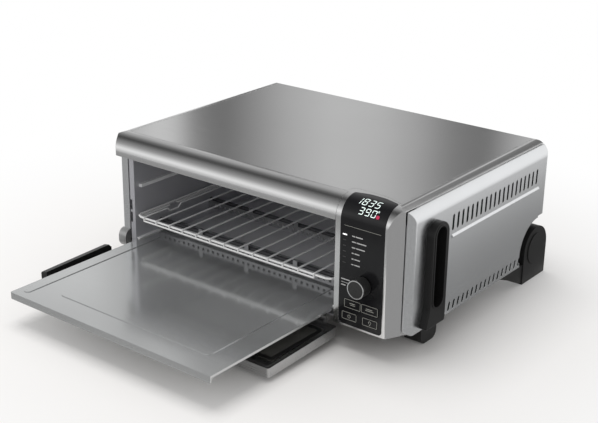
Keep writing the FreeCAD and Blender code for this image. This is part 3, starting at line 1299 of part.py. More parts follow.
def pivot_bush():
    x1 = STAND_INNER_X - STAND_CLEAR - SEAM + BUSH_END
    return ring((x1 - BUSH_L, PIVOT_Y, PIVOT_Z), (1, 0, 0), BUSH_R, FLIP_SHAFT_R + SLIDE_FIT, BUSH_L)


def pair(solid):
    return group([solid, mirror_x(solid)])


def export(node, shape):
    moved = shape.copy()
    moved.translate(VEC(0, -Y_MID, 0))
    moved.exportStep("parts/" + node + ".step")


def main():
    os.makedirs("parts", exist_ok=True)
    shell = casing_shell(0, SKIN)
    second_layer = casing_shell(SKIN, 2 * SKIN)
    foot = rear_foot()
    handle = side_handle()
    trim = upper_trim(shell, second_layer)
    nodes = {
        "rear_foot_left": mirror_x(foot),
        "rear_foot_right": foot,
        "flip_shaft": flip_shaft(),
        "rear_foot_pads": pair(rear_foot_pad()),
        "base_pan": base_pan(),
        "back_panel": back_panel(),
        "top_cover": top_cover(shell),
        "front_header": front_header(shell, second_layer),
        "upper_trims": pair(trim),
        "side_panel_left": left_side_panel(shell),
        "side_panel_right": side_panel(shell),
        "control_bezel": control_bezel(),
        "control_glass": control_glass(),
        "front_frame": front_frame(),
        "liner_floor": liner_floor(),
        "liner_top": liner_top(),
        "liner_left": liner_left(),
        "liner_right": liner_right(),
        "liner_back": liner_back(),
        "fan_guard": fan_guard(),
        "side_ledges": side_ledges(),
        "rod_guards": rod_guards(),
        "lower_heating_rods": heating_rods(LOWER_ROD_Z),
        "upper_heating_rods": heating_rods(UPPER_ROD_Z),
        "rod_insulators": rod_insulators(),
        "thermostat_probe": thermostat_probe(),
        "display_module": display_module(),
        "control_board": control_board(),
        "knob_encoder": knob_encoder(),
        "power_board": power_board(),
        "fan_motor": fan_motor(),
        "fan_housing": fan_housing(),
        "inlet_gland": inlet_gland(),
        "hinge_brackets": hinge_brackets(),
        "hinge_pins": hinge_pins(),
        "hinge_cover_left": hinge_cover(),
        "side_handle_left": mirror_x(handle),
        "side_handle_right": handle,
        "front_feet": pair(front_foot()),
        "rear_bumpers": group([rear_bumper(-BUMPER_X), rear_bumper(BUMPER_X)]),
        "pivot_carriers": pair(pivot_carrier()),
        "pivot_bushes": pair(pivot_bush()),
        "casing_screws": casing_screws(),
        "door_frame": door_frame(),
        "door_glass": door_glass(),
        "door_grip": door_grip(),
        "door_hinge_arms": door_hinge_arms(),
        "crumb_tray": crumb_tray(),
        "wire_rack": wire_rack(),
        "knob_plunger": knob_plunger(),
        "knob_cap": knob_cap(),
        "knob_ring": knob_ring(),
        "key_time": key_cap(0),
        "key_temperature": key_cap(1),
        "key_power": key_cap(2),
        "key_light": key_cap(3),
        "fan_blade": fan_blade(),
    }
    for node, shape in nodes.items():
        export(node, shape)


main()
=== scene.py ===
import bpy
import json
import math
from mathutils import Euler, Matrix, Vector


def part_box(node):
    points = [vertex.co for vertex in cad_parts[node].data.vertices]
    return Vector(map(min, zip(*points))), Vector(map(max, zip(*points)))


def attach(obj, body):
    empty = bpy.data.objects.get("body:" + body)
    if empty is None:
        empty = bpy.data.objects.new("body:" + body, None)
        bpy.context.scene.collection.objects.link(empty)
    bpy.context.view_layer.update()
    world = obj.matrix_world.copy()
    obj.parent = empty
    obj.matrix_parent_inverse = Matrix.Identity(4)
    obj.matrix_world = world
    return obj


# Looks of a countertop oven. Metres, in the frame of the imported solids: +Z up, +Y to the back.
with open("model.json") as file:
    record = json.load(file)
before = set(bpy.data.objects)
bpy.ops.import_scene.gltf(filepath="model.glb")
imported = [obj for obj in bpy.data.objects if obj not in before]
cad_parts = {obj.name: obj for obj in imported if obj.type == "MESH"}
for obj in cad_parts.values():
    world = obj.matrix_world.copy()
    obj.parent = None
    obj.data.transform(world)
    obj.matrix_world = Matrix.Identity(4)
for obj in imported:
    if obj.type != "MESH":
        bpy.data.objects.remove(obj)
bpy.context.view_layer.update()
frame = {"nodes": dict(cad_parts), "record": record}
nodes = frame["nodes"]
record = frame["record"]

# Places read from the solids
FRONT_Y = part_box("control_bezel")[0].y
TOP_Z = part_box("top_cover")[1].z
GLASS_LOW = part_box("control_glass")[0]

# The panel's glass bends back over the casing's rounded nose
NOSE_R = 0.0256
NOSE_AXIS_Y = FRONT_Y + NOSE_R
NOSE_AXIS_Z = TOP_Z - NOSE_R
GLASS_R = NOSE_AXIS_Y - GLASS_LOW.y

# Stretch of the noise: brush marks run along the axis with the small number
EVEN = (1, 1, 1)
ALONG_X = (0.02, 1, 1)
ALONG_Y = (1, 0.02, 1)
SMEARED = (1, 0.4, 1)

# Nearly all values of the noise lie between these
NOISE_LOW, NOISE_HIGH = 0.3, 0.7

# Scales of the faint cloudiness of each kind of surface
METAL_CLOUD = 7.0
PLASTIC_CLOUD = 25.0
SMEAR_SCALE = 30.0
SPECKLE_SCALE = 3000.0

# Darkest and lightest shade of a colour on each kind of surface
PLASTIC_SHADES = (0.88, 1.12)
SMEAR_SHADES = (0.94, 1.06)
SPECKLE_SHADES = (0.85, 1.0)

# How far the roughness varies
METAL_SWING = 0.05
STREAKED_SWING = 0.02
PLASTIC_SWING = 0.06
SMEAR_SWING = 0.04

PLASTIC_DETAIL = 2.0
PRINT_DETAIL = 1.0
PRINT_ROUGHNESS = 0.35
GLASS_IOR = 1.5
RELIEF = 0.0001
BEVEL_SAMPLES = 4


def new_object(name, data):
    obj = bpy.data.objects.new(name, data)
    bpy.context.scene.collection.objects.link(obj)
    return obj


def corners(x0, x1, y0, y1):
    """Corners of a rectangle, in the order of a face that is seen from above or the front."""
    return (x0, y0), (x1, y0), (x1, y1), (x0, y1)


# Finishes
def new_material(name):
    mat = bpy.data.materials.new(name)
    mat.use_nodes = True
    return mat, mat.node_tree, mat.node_tree.nodes["Principled BSDF"]


def stretched_noise(tree, stretch, scale, detail=3.0):
    """Noise over the object's own coordinates, pulled out along the axes given small numbers."""
    coord = tree.nodes.new("ShaderNodeTexCoord")
    mapping = tree.nodes.new("ShaderNodeMapping")
    mapping.inputs["Scale"].default_value = stretch
    noise = tree.nodes.new("ShaderNodeTexNoise")
    noise.inputs["Scale"].default_value = scale
    noise.inputs["Detail"].default_value = detail
    tree.links.new(coord.outputs["Object"], mapping.inputs["Vector"])
    tree.links.new(mapping.outputs["Vector"], noise.inputs["Vector"])
    return noise.outputs["Fac"]


def spread(tree, value, low, high):
    """The noise value stretched to a range."""
    node = tree.nodes.new("ShaderNodeMapRange")
    node.inputs["From Min"].default_value = NOISE_LOW
    node.inputs["From Max"].default_value = NOISE_HIGH
    node.inputs["To Min"].default_value = low
    node.inputs["To Max"].default_value = high
    tree.links.new(value, node.inputs["Value"])
    return node.outputs["Result"]


def drift_color(tree, shader, value, color, low, high):
    """Base colour that drifts with a noise value between two shades of one colour."""
    share = spread(tree, value, 0.0, 1.0)
    node = tree.nodes.new("ShaderNodeMix")
    node.data_type = "RGBA"
    for socket, factor in (("A", low), ("B", high)):
        node.inputs[socket].default_value = (*(min(c * factor, 1.0) for c in color), 1)
    tree.links.new(share, node.inputs["Factor"])
    tree.links.new(node.outputs["Result"], shader.inputs["Base Color"])


def drift_roughness(tree, shader, value, low, high):
    tree.links.new(spread(tree, value, low, high), shader.inputs["Roughness"])


def add_bump(tree, shader, value, strength, edge_radius):
    """Fine relief on top of softly rounded edges."""
    edge = tree.nodes.new("ShaderNodeBevel")
    edge.samples = BEVEL_SAMPLES
    edge.inputs["Radius"].default_value = edge_radius
    bump = tree.nodes.new("ShaderNodeBump")
    bump.inputs["Strength"].default_value = strength
    bump.inputs["Distance"].default_value = RELIEF
    tree.links.new(value, bump.inputs["Height"])
    tree.links.new(edge.outputs["Normal"], bump.inputs["Normal"])
    tree.links.new(bump.outputs["Normal"], shader.inputs["Normal"])


def metal(name, color, roughness, brush=EVEN, brush_scale=900.0, depth=0.12, edge=0.0004,
          variation=0.03, streak=0.0, metallic=1.0):
    """Satin metal with brush marks and faint cloudiness.

    A streak above zero draws reflections out across brush marks that run along X."""
    mat, tree, shader = new_material(name)
    shader.inputs["Metallic"].default_value = metallic
    swing = METAL_SWING
    if streak > 0:
        swing = STREAKED_SWING
        tangent = tree.nodes.new("ShaderNodeTangent")
        tangent.direction_type = "RADIAL"
        tangent.axis = "X"
        tree.links.new(tangent.outputs["Tangent"], shader.inputs["Tangent"])
        shader.inputs["Anisotropic"].default_value = streak
    cloud = stretched_noise(tree, EVEN, METAL_CLOUD)
    drift_color(tree, shader, cloud, color, 1 - variation, 1 + variation)
    lines = stretched_noise(tree, brush, brush_scale)
    drift_roughness(tree, shader, lines, roughness - swing, roughness + swing)
    add_bump(tree, shader, lines, depth, edge)
    return mat


def plastic(name, color, roughness, grain=2500.0, depth=0.15, edge=0.0004, sheen=0.5):
    """Moulded plastic or paint with a fine even grain."""
    mat, tree, shader = new_material(name)
    shader.inputs["Specular IOR Level"].default_value = sheen
    cloud = stretched_noise(tree, EVEN, PLASTIC_CLOUD)
    drift_color(tree, shader, cloud, color, *PLASTIC_SHADES)
    fine = stretched_noise(tree, EVEN, grain, PLASTIC_DETAIL)
    drift_roughness(tree, shader, fine, roughness - PLASTIC_SWING, roughness + PLASTIC_SWING)
    add_bump(tree, shader, fine, depth, edge)
    return mat


def glazing(name, tint, roughness, transmission):
    """Tinted pane with faint smears in its gloss."""
    mat, tree, shader = new_material(name)
    shader.inputs["Transmission Weight"].default_value = transmission
    shader.inputs["IOR"].default_value = GLASS_IOR
    smear = stretched_noise(tree, SMEARED, SMEAR_SCALE)
    drift_color(tree, shader, smear, tint, *SMEAR_SHADES)
    drift_roughness(tree, shader, smear, roughness, roughness + SMEAR_SWING)
    return mat


def printed(name, color, glow=0.0):
    """Screen print or lit segment on the glass."""
    mat, tree, shader = new_material(name)
    shader.inputs["Roughness"].default_value = PRINT_ROUGHNESS
    shader.inputs["Emission Strength"].default_value = glow
    shader.inputs["Emission Color"].default_value = (*color, 1)
    speckle = stretched_noise(tree, EVEN, SPECKLE_SCALE, PRINT_DETAIL)
    drift_color(tree, shader, speckle, color, *SPECKLE_SHADES)
    return mat


def grey(shade):
    return shade, shade, shade


# Settings that several finishes share
SHEET = {"brush_scale": 700.0, "depth": 0.03}
MOULDED = {"grain": 2200.0, "depth": 0.2, "edge": 0.0006}
GLOSSY = {"grain": 60.0, "depth": 0.01, "edge": 0.0003, "sheen": 0.3}

# One material for each finish in the record: name, colour, roughness, then what is its own
finishes = {
    "casing_steel": metal("satin_steel", grey(0.74), 0.16, ALONG_X, depth=0.006,
                          variation=0.015, streak=0.4),
    "side_panel_grey": metal("side_panel", (0.79, 0.80, 0.81), 0.26, brush_scale=2600.0,
                             depth=0.03, edge=0.0008),
    "back_metal": plastic("back_paint", (0.16, 0.16, 0.17), 0.5),
    "base_steel": metal("base_steel", grey(0.42), 0.45),
    "liner_steel": metal("liner_steel", (0.56, 0.56, 0.59), 0.42, ALONG_Y, metallic=0.5, **SHEET),
    "ledge_steel": metal("ledge_steel", grey(0.95), 0.38, metallic=0.15),
    "rod_dark": plastic("rod_oxide", (0.05, 0.05, 0.055), 0.45, grain=1800.0, depth=0.3),
    "ceramic_white": plastic("ceramic", (0.78, 0.77, 0.72), 0.5),
    "sensor_steel": metal("sensor_steel", grey(0.6), 0.25),
    "display_dark": plastic("display_lens", (0.012, 0.012, 0.013), 0.12, grain=900.0, depth=0.02),
    "board_green": plastic("circuit_board", (0.03, 0.16, 0.07), 0.4, grain=900.0),
    "switch_metal": plastic("switch_body", (0.2, 0.2, 0.21), 0.4),
    "motor_metal": metal("motor_steel", (0.4, 0.4, 0.42), 0.4),
    "fan_steel": metal("fan_steel", (0.62, 0.62, 0.64), 0.3),
    "inlet_black": plastic("inlet_rubber", grey(0.02), 0.6),
    "hinge_steel": metal("hinge_steel", grey(0.45), 0.35),
    "hinge_cover_grey": metal("hinge_cover", grey(0.42), 0.4, metallic=0.5),
    "handle_black": plastic("handle_plastic", grey(0.012), 0.38, sheen=0.25, **MOULDED),
    "foot_black": plastic("foot_plastic", grey(0.016), 0.42, sheen=0.25, **MOULDED),
    "pad_rubber": plastic("pad_rubber", grey(0.03), 0.7),
    "shaft_steel": metal("shaft_steel", grey(0.6), 0.25),
    "bush_plastic": plastic("bush_plastic", (0.75, 0.75, 0.7), 0.45),
    "screw_steel": metal("screw_steel", grey(0.65), 0.22),
    "panel_glass": plastic("panel_glass", (0.010, 0.010, 0.011), 0.14, **GLOSSY),
    "door_frame_metal": metal("door_frame_metal", grey(0.44), 0.30, ALONG_X, depth=0.04),
    "door_glass": glazing("door_glass", (0.42, 0.415, 0.39), 0.02, transmission=0.7),
    "grip_black": plastic("grip_plastic", grey(0.014), 0.45, sheen=0.3, **MOULDED),
    "tray_steel": metal("tray_metal", (0.60, 0.61, 0.61), 0.15, ALONG_X, brush_scale=700.0,
                        depth=0.006, streak=0.2, metallic=0.82),
    "rack_chrome": metal("rack_chrome", grey(0.90), 0.25, brush_scale=1200.0, depth=0.03,
                         metallic=0.1),
    "knob_black": plastic("knob_face", grey(0.022), 0.3, grain=1800.0, depth=0.1),
    "knob_steel": metal("knob_steel", grey(0.68), 0.2),
    "stem_steel": metal("stem_steel", grey(0.6), 0.3),
    "key_black": plastic("key_gloss", (0.012, 0.012, 0.013), 0.16, **GLOSSY),
}

# Lit and shaded copies of the inside's steel finishes: painted shade makes the rod guards darker,
# and painted light makes the liner's floor, back and top lighter than the rest of their finish
lit_and_shaded_copies = {
    # Rod guards: a darker copy, painted shade
    "rod_guards": metal("guard_steel_painted_shade", (0.36, 0.36, 0.37), 0.32, metallic=0.8),
    # Liner floor: a lighter copy, painted light
    "liner_floor": metal("floor_steel_painted_light", (0.72, 0.72, 0.74), 0.35, ALONG_X, metallic=0.25, **SHEET),
}
# Liner back and top: lighter copies, painted light
for node in ("liner_back", "liner_top"):
    lit_and_shaded_copies[node] = metal(node + "_steel", (0.88, 0.88, 0.90), 0.40, ALONG_X, metallic=0.2,
                            **SHEET)

for part in record["subparts"]:
    mesh = nodes[part["node"]].data
    mesh.materials.clear()
    mesh.materials.append(lit_and_shaded_copies.get(part["node"], finishes[part["material_slot"]]))


# Printed and lit marks: thin plates just off their face
PRINT_LIFT = 0.00008
PRINT_T = 0.00006
RING_STEPS = 28
CORNER_STEPS = 5


def piece(name, verts, faces, mat, body):
    mesh = bpy.data.meshes.new(name)
    mesh.from_pydata([tuple(v) for v in verts], [], faces)
    mesh.materials.append(mat)
    obj = new_object(name, mesh)
    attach(obj, body)


def on_face(x, s, lift):
    """Point on the panel's flat front: x from the glass's left edge and s from its foot."""
    return GLASS_LOW + Vector((x, -lift, s))


def on_nose(x, s, lift):
    """Point on the curved part of the glass: x from its left edge and s round it from the flat."""
    angle = s / GLASS_R
    radius = GLASS_R + lift
    return Vector((GLASS_LOW.x + x, NOSE_AXIS_Y - radius * math.cos(angle),
                   NOSE_AXIS_Z + radius * math.sin(angle)))


def arc(degrees):
    """Arc length on the curved part of the glass."""
    return GLASS_R * math.radians(degrees)


def round_point(x, s, radius, degrees):
    angle = math.radians(degrees)
    return x + radius * math.cos(angle), s + radius * math.sin(angle)


def rounded_loop(x0, x1, s0, s1, radius):
    points = []
    for x, s, start in ((x1 - radius, s1 - radius, 0), (x0 + radius, s1 - radius, 90),
                        (x0 + radius, s0 + radius, 180), (x1 - radius, s0 + radius, 270)):
        for i in range(CORNER_STEPS + 1):
            points.append(round_point(x, s, radius, start + 90 * i / CORNER_STEPS))
    return points


class Marks:
    """Thin raised shapes gathered into one piece."""

    def __init__(self, place, lift=PRINT_LIFT):
        self.place = place
        self.lift = lift
        self.verts = []
        self.faces = []

    def polygon(self, points):
        count = len(points)
        base = len(self.verts)
        self.verts += [self.place(x, s, self.lift + PRINT_T) for x, s in points]
        self.verts += [self.place(x, s, self.lift) for x, s in points]
        self.faces.append(tuple(base + i for i in range(count)))
        self.faces.append(tuple(base + count + i for i in reversed(range(count))))
        for i in range(count):
            j = (i + 1) % count
            self.faces.append((base + i, base + count + i, base + count + j, base + j))

    def bar(self, x0, x1, s0, s1):
        self.polygon(corners(x0, x1, s0, s1))

    def rounded_frame(self, x0, x1, s0, s1, radius, width):
        inner = rounded_loop(x0 + width, x1 - width, s0 + width, s1 - width, radius - width)
        outer = rounded_loop(x0, x1, s0, s1, radius)
        for i in range(len(inner)):
            j = (i + 1) % len(inner)
            self.polygon([inner[i], inner[j], outer[j], outer[i]])

    def ring(self, x, s, radius, width, start=0.0, sweep=360.0, steps=RING_STEPS):
        """Ring, or part of one from a start angle over a sweep in degrees."""
        degrees = [start + sweep * i / steps for i in range(steps + 1)]
        inner = [round_point(x, s, radius - width, turn) for turn in degrees]
        outer = [round_point(x, s, radius, turn) for turn in degrees]
        for i in range(steps):
            self.polygon([inner[i], inner[i + 1], outer[i + 1], outer[i]])

    def finish(self, name, mat, body):
        piece(name, self.verts, self.faces, mat, body)


lit_white = printed("lit_white", (0.80, 0.92, 0.88), 0.55)
lit_bar = printed("lit_bar", (1.0, 1.0, 1.0), 1.0)
lit_red = printed("lit_red", (0.50, 0.02, 0.08), 0.2)
print_grey = printed("print_grey", (0.55, 0.55, 0.55))
print_dim = printed("print_dim", (0.05, 0.05, 0.05))
print_line = printed("print_line", (0.42, 0.42, 0.38))

# Segments lit for each number: a is the top one, then clockwise to f, with g in the middle
SEGMENTS = {"0": "abcdef", "1": "bc", "3": "abgcd", "5": "afgcd", "8": "abcdefg", "9": "abcdfg"}
DIGIT_W = 0.0062
DIGIT_STROKE = 0.0009
DIGIT_SLANT = 0.14

# Room at the ends of each segment, and what the points of the upright ones draw in besides
SEGMENT_GAP = 0.18 * DIGIT_STROKE
POINT_INSET = 0.3 * DIGIT_STROKE

# Numbers, x of the first, step along x, degrees above the flat, degrees of height
DIGIT_ROWS = (
    ("1835", 0.0122, 0.0088, 53, 23),
    ("390", 0.0218, 0.0086, 26.5, 20),
)

# Small ring after the lower number
DEGREE_X = 0.0480
DEGREE_ARC = 45.0
DEGREE_R = 0.0011
DEGREE_STROKE = 0.0005
DEGREE_STEPS = 14

RED_LAMP_X = (0.0468, 0.0512)
RED_LAMP_ARC = (26, 35.5)
RED_LAMP_R = 0.0016


def digit(marks, symbol, x, s, height):
    """Seven-segment digit whose lower left corner is at x, s, leaning to the right."""
    half = DIGIT_STROKE / 2
    left, right = x + half, x + DIGIT_W - half
    mid = s + height / 2
    across = {"a": s + height - half, "g": mid, "d": s + half}
    upright = {"f": (left, mid), "b": (right, mid), "e": (left, s), "c": (right, s)}
    for name in SEGMENTS[symbol]:
        if name in across:
            level = across[name]
            x0, x1 = left + SEGMENT_GAP, right - SEGMENT_GAP
            outline = [(x0, level), (x0 + half, level - half), (x1 - half, level - half),
                       (x1, level), (x1 - half, level + half), (x0 + half, level + half)]
        else:
            centre, low = upright[name]
            inset = SEGMENT_GAP + POINT_INSET
            s0, s1 = low + inset, low + height / 2 - inset
            outline = [(centre, s0), (centre + half, s0 + half), (centre + half, s1 - half),
                       (centre, s1), (centre - half, s1 - half), (centre - half, s0 + half)]
        marks.polygon([(px + DIGIT_SLANT * (ps - s), ps) for px, ps in outline])


def display():
    """Lit numbers and a red lamp on the curved part of the glass."""
    numbers = Marks(on_nose)
    for symbols, first_x, step, foot, height in DIGIT_ROWS:
        for i, symbol in enumerate(symbols):
            digit(numbers, symbol, first_x + i * step, arc(foot), arc(height))
    numbers.ring(DEGREE_X, arc(DEGREE_ARC), DEGREE_R, DEGREE_STROKE, steps=DEGREE_STEPS)
    numbers.finish("display_numbers", lit_white, "oven")
    glow = Marks(on_nose, PRINT_LIFT * 2)
    glow.polygon(rounded_loop(*RED_LAMP_X, *map(arc, RED_LAMP_ARC), RED_LAMP_R))
    glow.finish("display_red_lamp", lit_red, "oven")


# Height and length of each row of bars, with its lamp on the left; the first lamp is lit
MODE_ROWS = (
    (0.1153, 0.0150),
    (0.1082, 0.0200),
    (0.1010, 0.0185),
    (0.0939, 0.0110),
    (0.0867, 0.0120),
    (0.0796, 0.0120),
)
MODE_X = 0.017
MODE_HALF_T = 0.0007
MODE_SPLIT = 0.3
MODE_HALF_GAP = 0.0005

# Height, length and thickness of the bars by the knob
KNOB_BARS = ((0.0580, 0.0125, 0.0014), (0.0540, 0.0115, 0.0006), (0.0505, 0.0065, 0.0014))
KNOB_BARS_X = 0.003

# Left, right, foot and top of the thin line, and of the lit lamp with its corner radius
RULE = (0.005, 0.057, 0.1263, 0.1267)
LAMP_X = 0.0064
LIT_LAMP = (LAMP_X - 0.0027, LAMP_X + 0.0033, 0.1143, 0.1158, 0.0006)
IDLE_HALF_W = 0.0022
IDLE_HALF_T = 0.0006


def panel_marks():
    """Bars, a thin line and small lamps on the flat part of the glass."""
    bars = Marks(on_face)
    for z, length in MODE_ROWS:
        split = MODE_X + length * MODE_SPLIT
        for x0, x1 in ((MODE_X, split - MODE_HALF_GAP), (split + MODE_HALF_GAP, MODE_X + length)):
            bars.bar(x0, x1, z - MODE_HALF_T, z + MODE_HALF_T)
    for z, length, thick in KNOB_BARS:
        bars.bar(KNOB_BARS_X, KNOB_BARS_X + length, z - thick / 2, z + thick / 2)
    bars.finish("panel_bars", print_grey, "oven")
    rule = Marks(on_face)
    rule.bar(*RULE)
    rule.finish("panel_rule", print_line, "oven")
    idle = Marks(on_face)
    for z, length in MODE_ROWS[1:]:
        idle.bar(LAMP_X - IDLE_HALF_W, LAMP_X + IDLE_HALF_W, z - IDLE_HALF_T, z + IDLE_HALF_T)
    idle.finish("idle_lamps", print_dim, "oven")
    lamp = Marks(on_face)
    lamp.polygon(rounded_loop(*LIT_LAMP))
    lamp.finish("lit_lamp", lit_bar, "oven")


# Node, body, rings (x, z, radius, width, start, sweep) and bars (x0, x1, z0, z1) of each key's
# sign, from the key's middle
KEY_SIGNS = (
    ("key_time", "time_key", (),
     ((-0.004, 0.004, 0.0006, 0.0014), (-0.003, 0.004, -0.0014, -0.0007))),
    ("key_temperature", "temperature_key", (),
     ((-0.005, 0.004, 0.0006, 0.0014), (-0.006, 0.006, -0.0014, -0.0007))),
    ("key_power", "power_key", ((0, -0.0002, 0.0022, 0.0005, 120, 300),),
     ((-0.00025, 0.00025, 0, 0.0025),)),
    ("key_light", "light_key", ((0, 0.0006, 0.0019, 0.0005, -60, 300),),
     ((-0.0008, 0.0008, -0.0022, -0.0016), (-0.0006, 0.0006, -0.0029, -0.0025))),
)
KEY_INSET = 0.0003
KEY_CORNER_R = 0.0014
KEY_LINE = 0.00045


def key_marks():
    """Outline and a plain sign on each key."""
    for node, body, rings, bars in KEY_SIGNS:
        low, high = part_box(node)
        face = low.y

        def on_key(x, s, lift):
            return Vector((x, face - lift, s))

        marks = Marks(on_key)
        marks.rounded_frame(low.x + KEY_INSET, high.x - KEY_INSET, low.z + KEY_INSET,
                            high.z - KEY_INSET, KEY_CORNER_R, KEY_LINE)
        x = (low.x + high.x) / 2
        z = (low.z + high.z) / 2
        for ring_x, ring_z, *ring in rings:
            marks.ring(x + ring_x, z + ring_z, *ring)
        for x0, x1, z0, z1 in bars:
            marks.bar(x + x0, x + x1, z + z0, z + z1)
        marks.finish(node + "_marks", print_line, body)


DOOR_INSET_X, DOOR_INSET_Y = 0.0002, 0.0004
DOOR_BAND_R = 0.009
DOOR_BAND_W = 0.006


def door_border():
    """Dark band printed round the edge of the inner pane."""
    low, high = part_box("door_glass")
    level = high.z

    def on_pane(x, s, lift):
        return Vector((x, s, level + lift))

    marks = Marks(on_pane)
    marks.rounded_frame(low.x + DOOR_INSET_X, high.x - DOOR_INSET_X, low.y + DOOR_INSET_Y,
                        high.y - DOOR_INSET_Y, DOOR_BAND_R, DOOR_BAND_W)
    marks.finish("door_glass_border", finishes["knob_black"], "door")


display()
panel_marks()
key_marks()
door_border()


# Studio. Two lamps light the oven, and shaded boards make up what it reflects.
LAMP_TARGET = Vector((0.0, 0.0, 0.1))
AMBIENT = 0.56
PAPER = (0.80, 0.785, 0.77)
PAPER_ROUGHNESS = 0.9
PAPER_SHEEN = 0.1
FLOOR_HALF = 12.0
FLOOR_FADE = (0.15, 0.75)
ONE_FACE = [(0, 1, 2, 3)]

# Name, place, size and power
LAMPS = (
    ("key_lamp", (-1.6, -1.8, 0.75), (2.2, 1.0), 14),
    ("top_lamp", (-0.5, 0.0, 2.4), (1.6, 1.6), 36),
)

# Stops are a place along the board and the shade there
BACK_BOARD_Y = 2.9
BACK_BOARD_Z = (0.3, 2.6)
BACK_BOARD_STOPS = (
    (-4.60, 0.80), (-3.60, 0.80), (-3.45, 0.52), (-3.30, 0.50), (-3.20, 0.68), (-3.10, 0.74),
    (-2.98, 0.66), (-2.88, 0.22), (-2.68, 0.15), (-2.50, 0.30), (-2.30, 0.48), (-2.05, 0.60),
    (-1.80, 0.56), (-1.60, 0.42), (-1.45, 0.24), (-1.28, 0.17), (-1.17, 0.45), (-1.08, 0.60),
    (-0.95, 0.68), (-0.90, 0.52), (-0.85, 0.24), (0.10, 0.18), (0.55, 0.26),
)

# Name, reach along X, reach along Y, axis of the shading and stops
# Boards of painted shade, seen only in reflections, that stand in for the oven's shadow on the
# floor
FLOOR_BOARD_Z = 0.0015
FLOOR_BOARDS = (
    ("right_board", (0.25, 0.70), (0.08, 2.4), "X",
     ((0.25, 0.22), (0.34, 0.24), (0.40, 0.31), (0.45, 0.50), (0.52, 0.74), (0.70, 0.90))),
    ("front_board", (-3.5, 1.8), (-2.88, -0.33), "Y",
     ((-2.88, 0.60), (-1.6, 0.50), (-0.8, 0.36), (-0.33, 0.34))),
    ("corner_board", (0.26, 1.8), (-0.33, 0.08), "X", ((0.26, 0.34), (1.8, 0.36))),
    ("left_board", (-3.5, -0.26), (-0.33, 0.1), "X", ((-3.5, 0.40), (-0.26, 0.34))),
)

# Stops of the vault are in degrees round its axis, from the back over the top to the front
VAULT_R = 2.9
VAULT_X = (-9.0, 6.0)
VAULT_STEPS = 24
VAULT_STOPS = (
    (38, 0.54), (59, 0.45), (75, 0.24), (88, 0.10), (98, 0.07), (107, 0.14), (117, 0.23),
    (129, 0.32), (139, 0.44), (151, 0.72), (161, 0.98), (167, 0.98), (182, 0.62),
)


def area_lamp(name, place, size, power):
    """Soft lamp aimed at the middle of the oven and left out of reflections."""
    data = bpy.data.lights.new(name, "AREA")
    data.shape = "RECTANGLE"
    data.size, data.size_y = size
    data.energy = power
    lamp = new_object(name, data)
    lamp.location = place
    lamp.rotation_euler = (LAMP_TARGET - Vector(place)).to_track_quat("-Z", "Y").to_euler()
    lamp.visible_glossy = False


def math_node(tree, operation, *values):
    node = tree.nodes.new("ShaderNodeMath")
    node.operation = operation
    for i, value in enumerate(values):
        tree.links.new(value, node.inputs[i])
    return node.outputs["Value"]


def ramp(tree, value, stops):
    """Grey shade of a value by stops given as (value, shade)."""
    low, high = stops[0][0], stops[-1][0]
    scale = tree.nodes.new("ShaderNodeMapRange")
    scale.inputs["From Min"].default_value = low
    scale.inputs["From Max"].default_value = high
    tree.links.new(value, scale.inputs["Value"])
    node = tree.nodes.new("ShaderNodeValToRGB")
    elements = node.color_ramp.elements
    while len(elements) < len(stops):
        elements.new(0.5)
    for element, (place, shade) in zip(elements, stops):
        element.position = (place - low) / (high - low)
        element.color = (*grey(shade), 1)
    tree.links.new(scale.outputs["Result"], node.inputs["Fac"])
    return node.outputs["Color"]


def reflected_board(name, verts, faces, stops, value_of):
    """Shaded board of the studio that only shows in reflections."""
    mesh = bpy.data.meshes.new(name)
    mesh.from_pydata(verts, [], faces)
    mat, tree, shader = new_material(name)
    coord = tree.nodes.new("ShaderNodeTexCoord")
    split = tree.nodes.new("ShaderNodeSeparateXYZ")
    tree.links.new(coord.outputs["Object"], split.inputs["Vector"])
    glow = tree.nodes.new("ShaderNodeEmission")
    tree.links.new(ramp(tree, value_of(tree, split), stops), glow.inputs["Color"])
    tree.links.new(glow.outputs["Emission"], tree.nodes["Material Output"].inputs["Surface"])
    mat.cycles.emission_sampling = "NONE"
    mesh.materials.append(mat)
    board = new_object(name, mesh)
    board.visible_camera = False
    board.visible_shadow = False
    board.visible_diffuse = False
    board.visible_transmission = False
    return board


def flat_board(name, verts, axis, stops):
    """Rectangle shaded along one axis."""
    reflected_board(name, verts, ONE_FACE, stops, lambda tree, split: split.outputs[axis])


def back_board():
    """Upright board behind the oven that its flat top reflects."""
    x0, x1 = BACK_BOARD_STOPS[0][0], BACK_BOARD_STOPS[-1][0]
    verts = [(x, BACK_BOARD_Y, z) for x, z in corners(x0, x1, *BACK_BOARD_Z)]
    flat_board("back_board", verts, "X", BACK_BOARD_STOPS)


def floor_boards():
    """Grey boards on the floor, seen only in reflections, with painted shade: they darken the
    floor and the oven's shadow on it in what the upright faces reflect.
    """
    for name, reach_x, reach_y, axis, stops in FLOOR_BOARDS:
        verts = [(x, y, FLOOR_BOARD_Z) for x, y in corners(*reach_x, *reach_y)]
        flat_board(name, verts, axis, stops)


def angle_round_x(tree, split):
    """Degrees round the X axis, from +Y towards +Z."""
    turn = math_node(tree, "ARCTAN2", split.outputs["Z"], split.outputs["Y"])
    return math_node(tree, "DEGREES", turn)


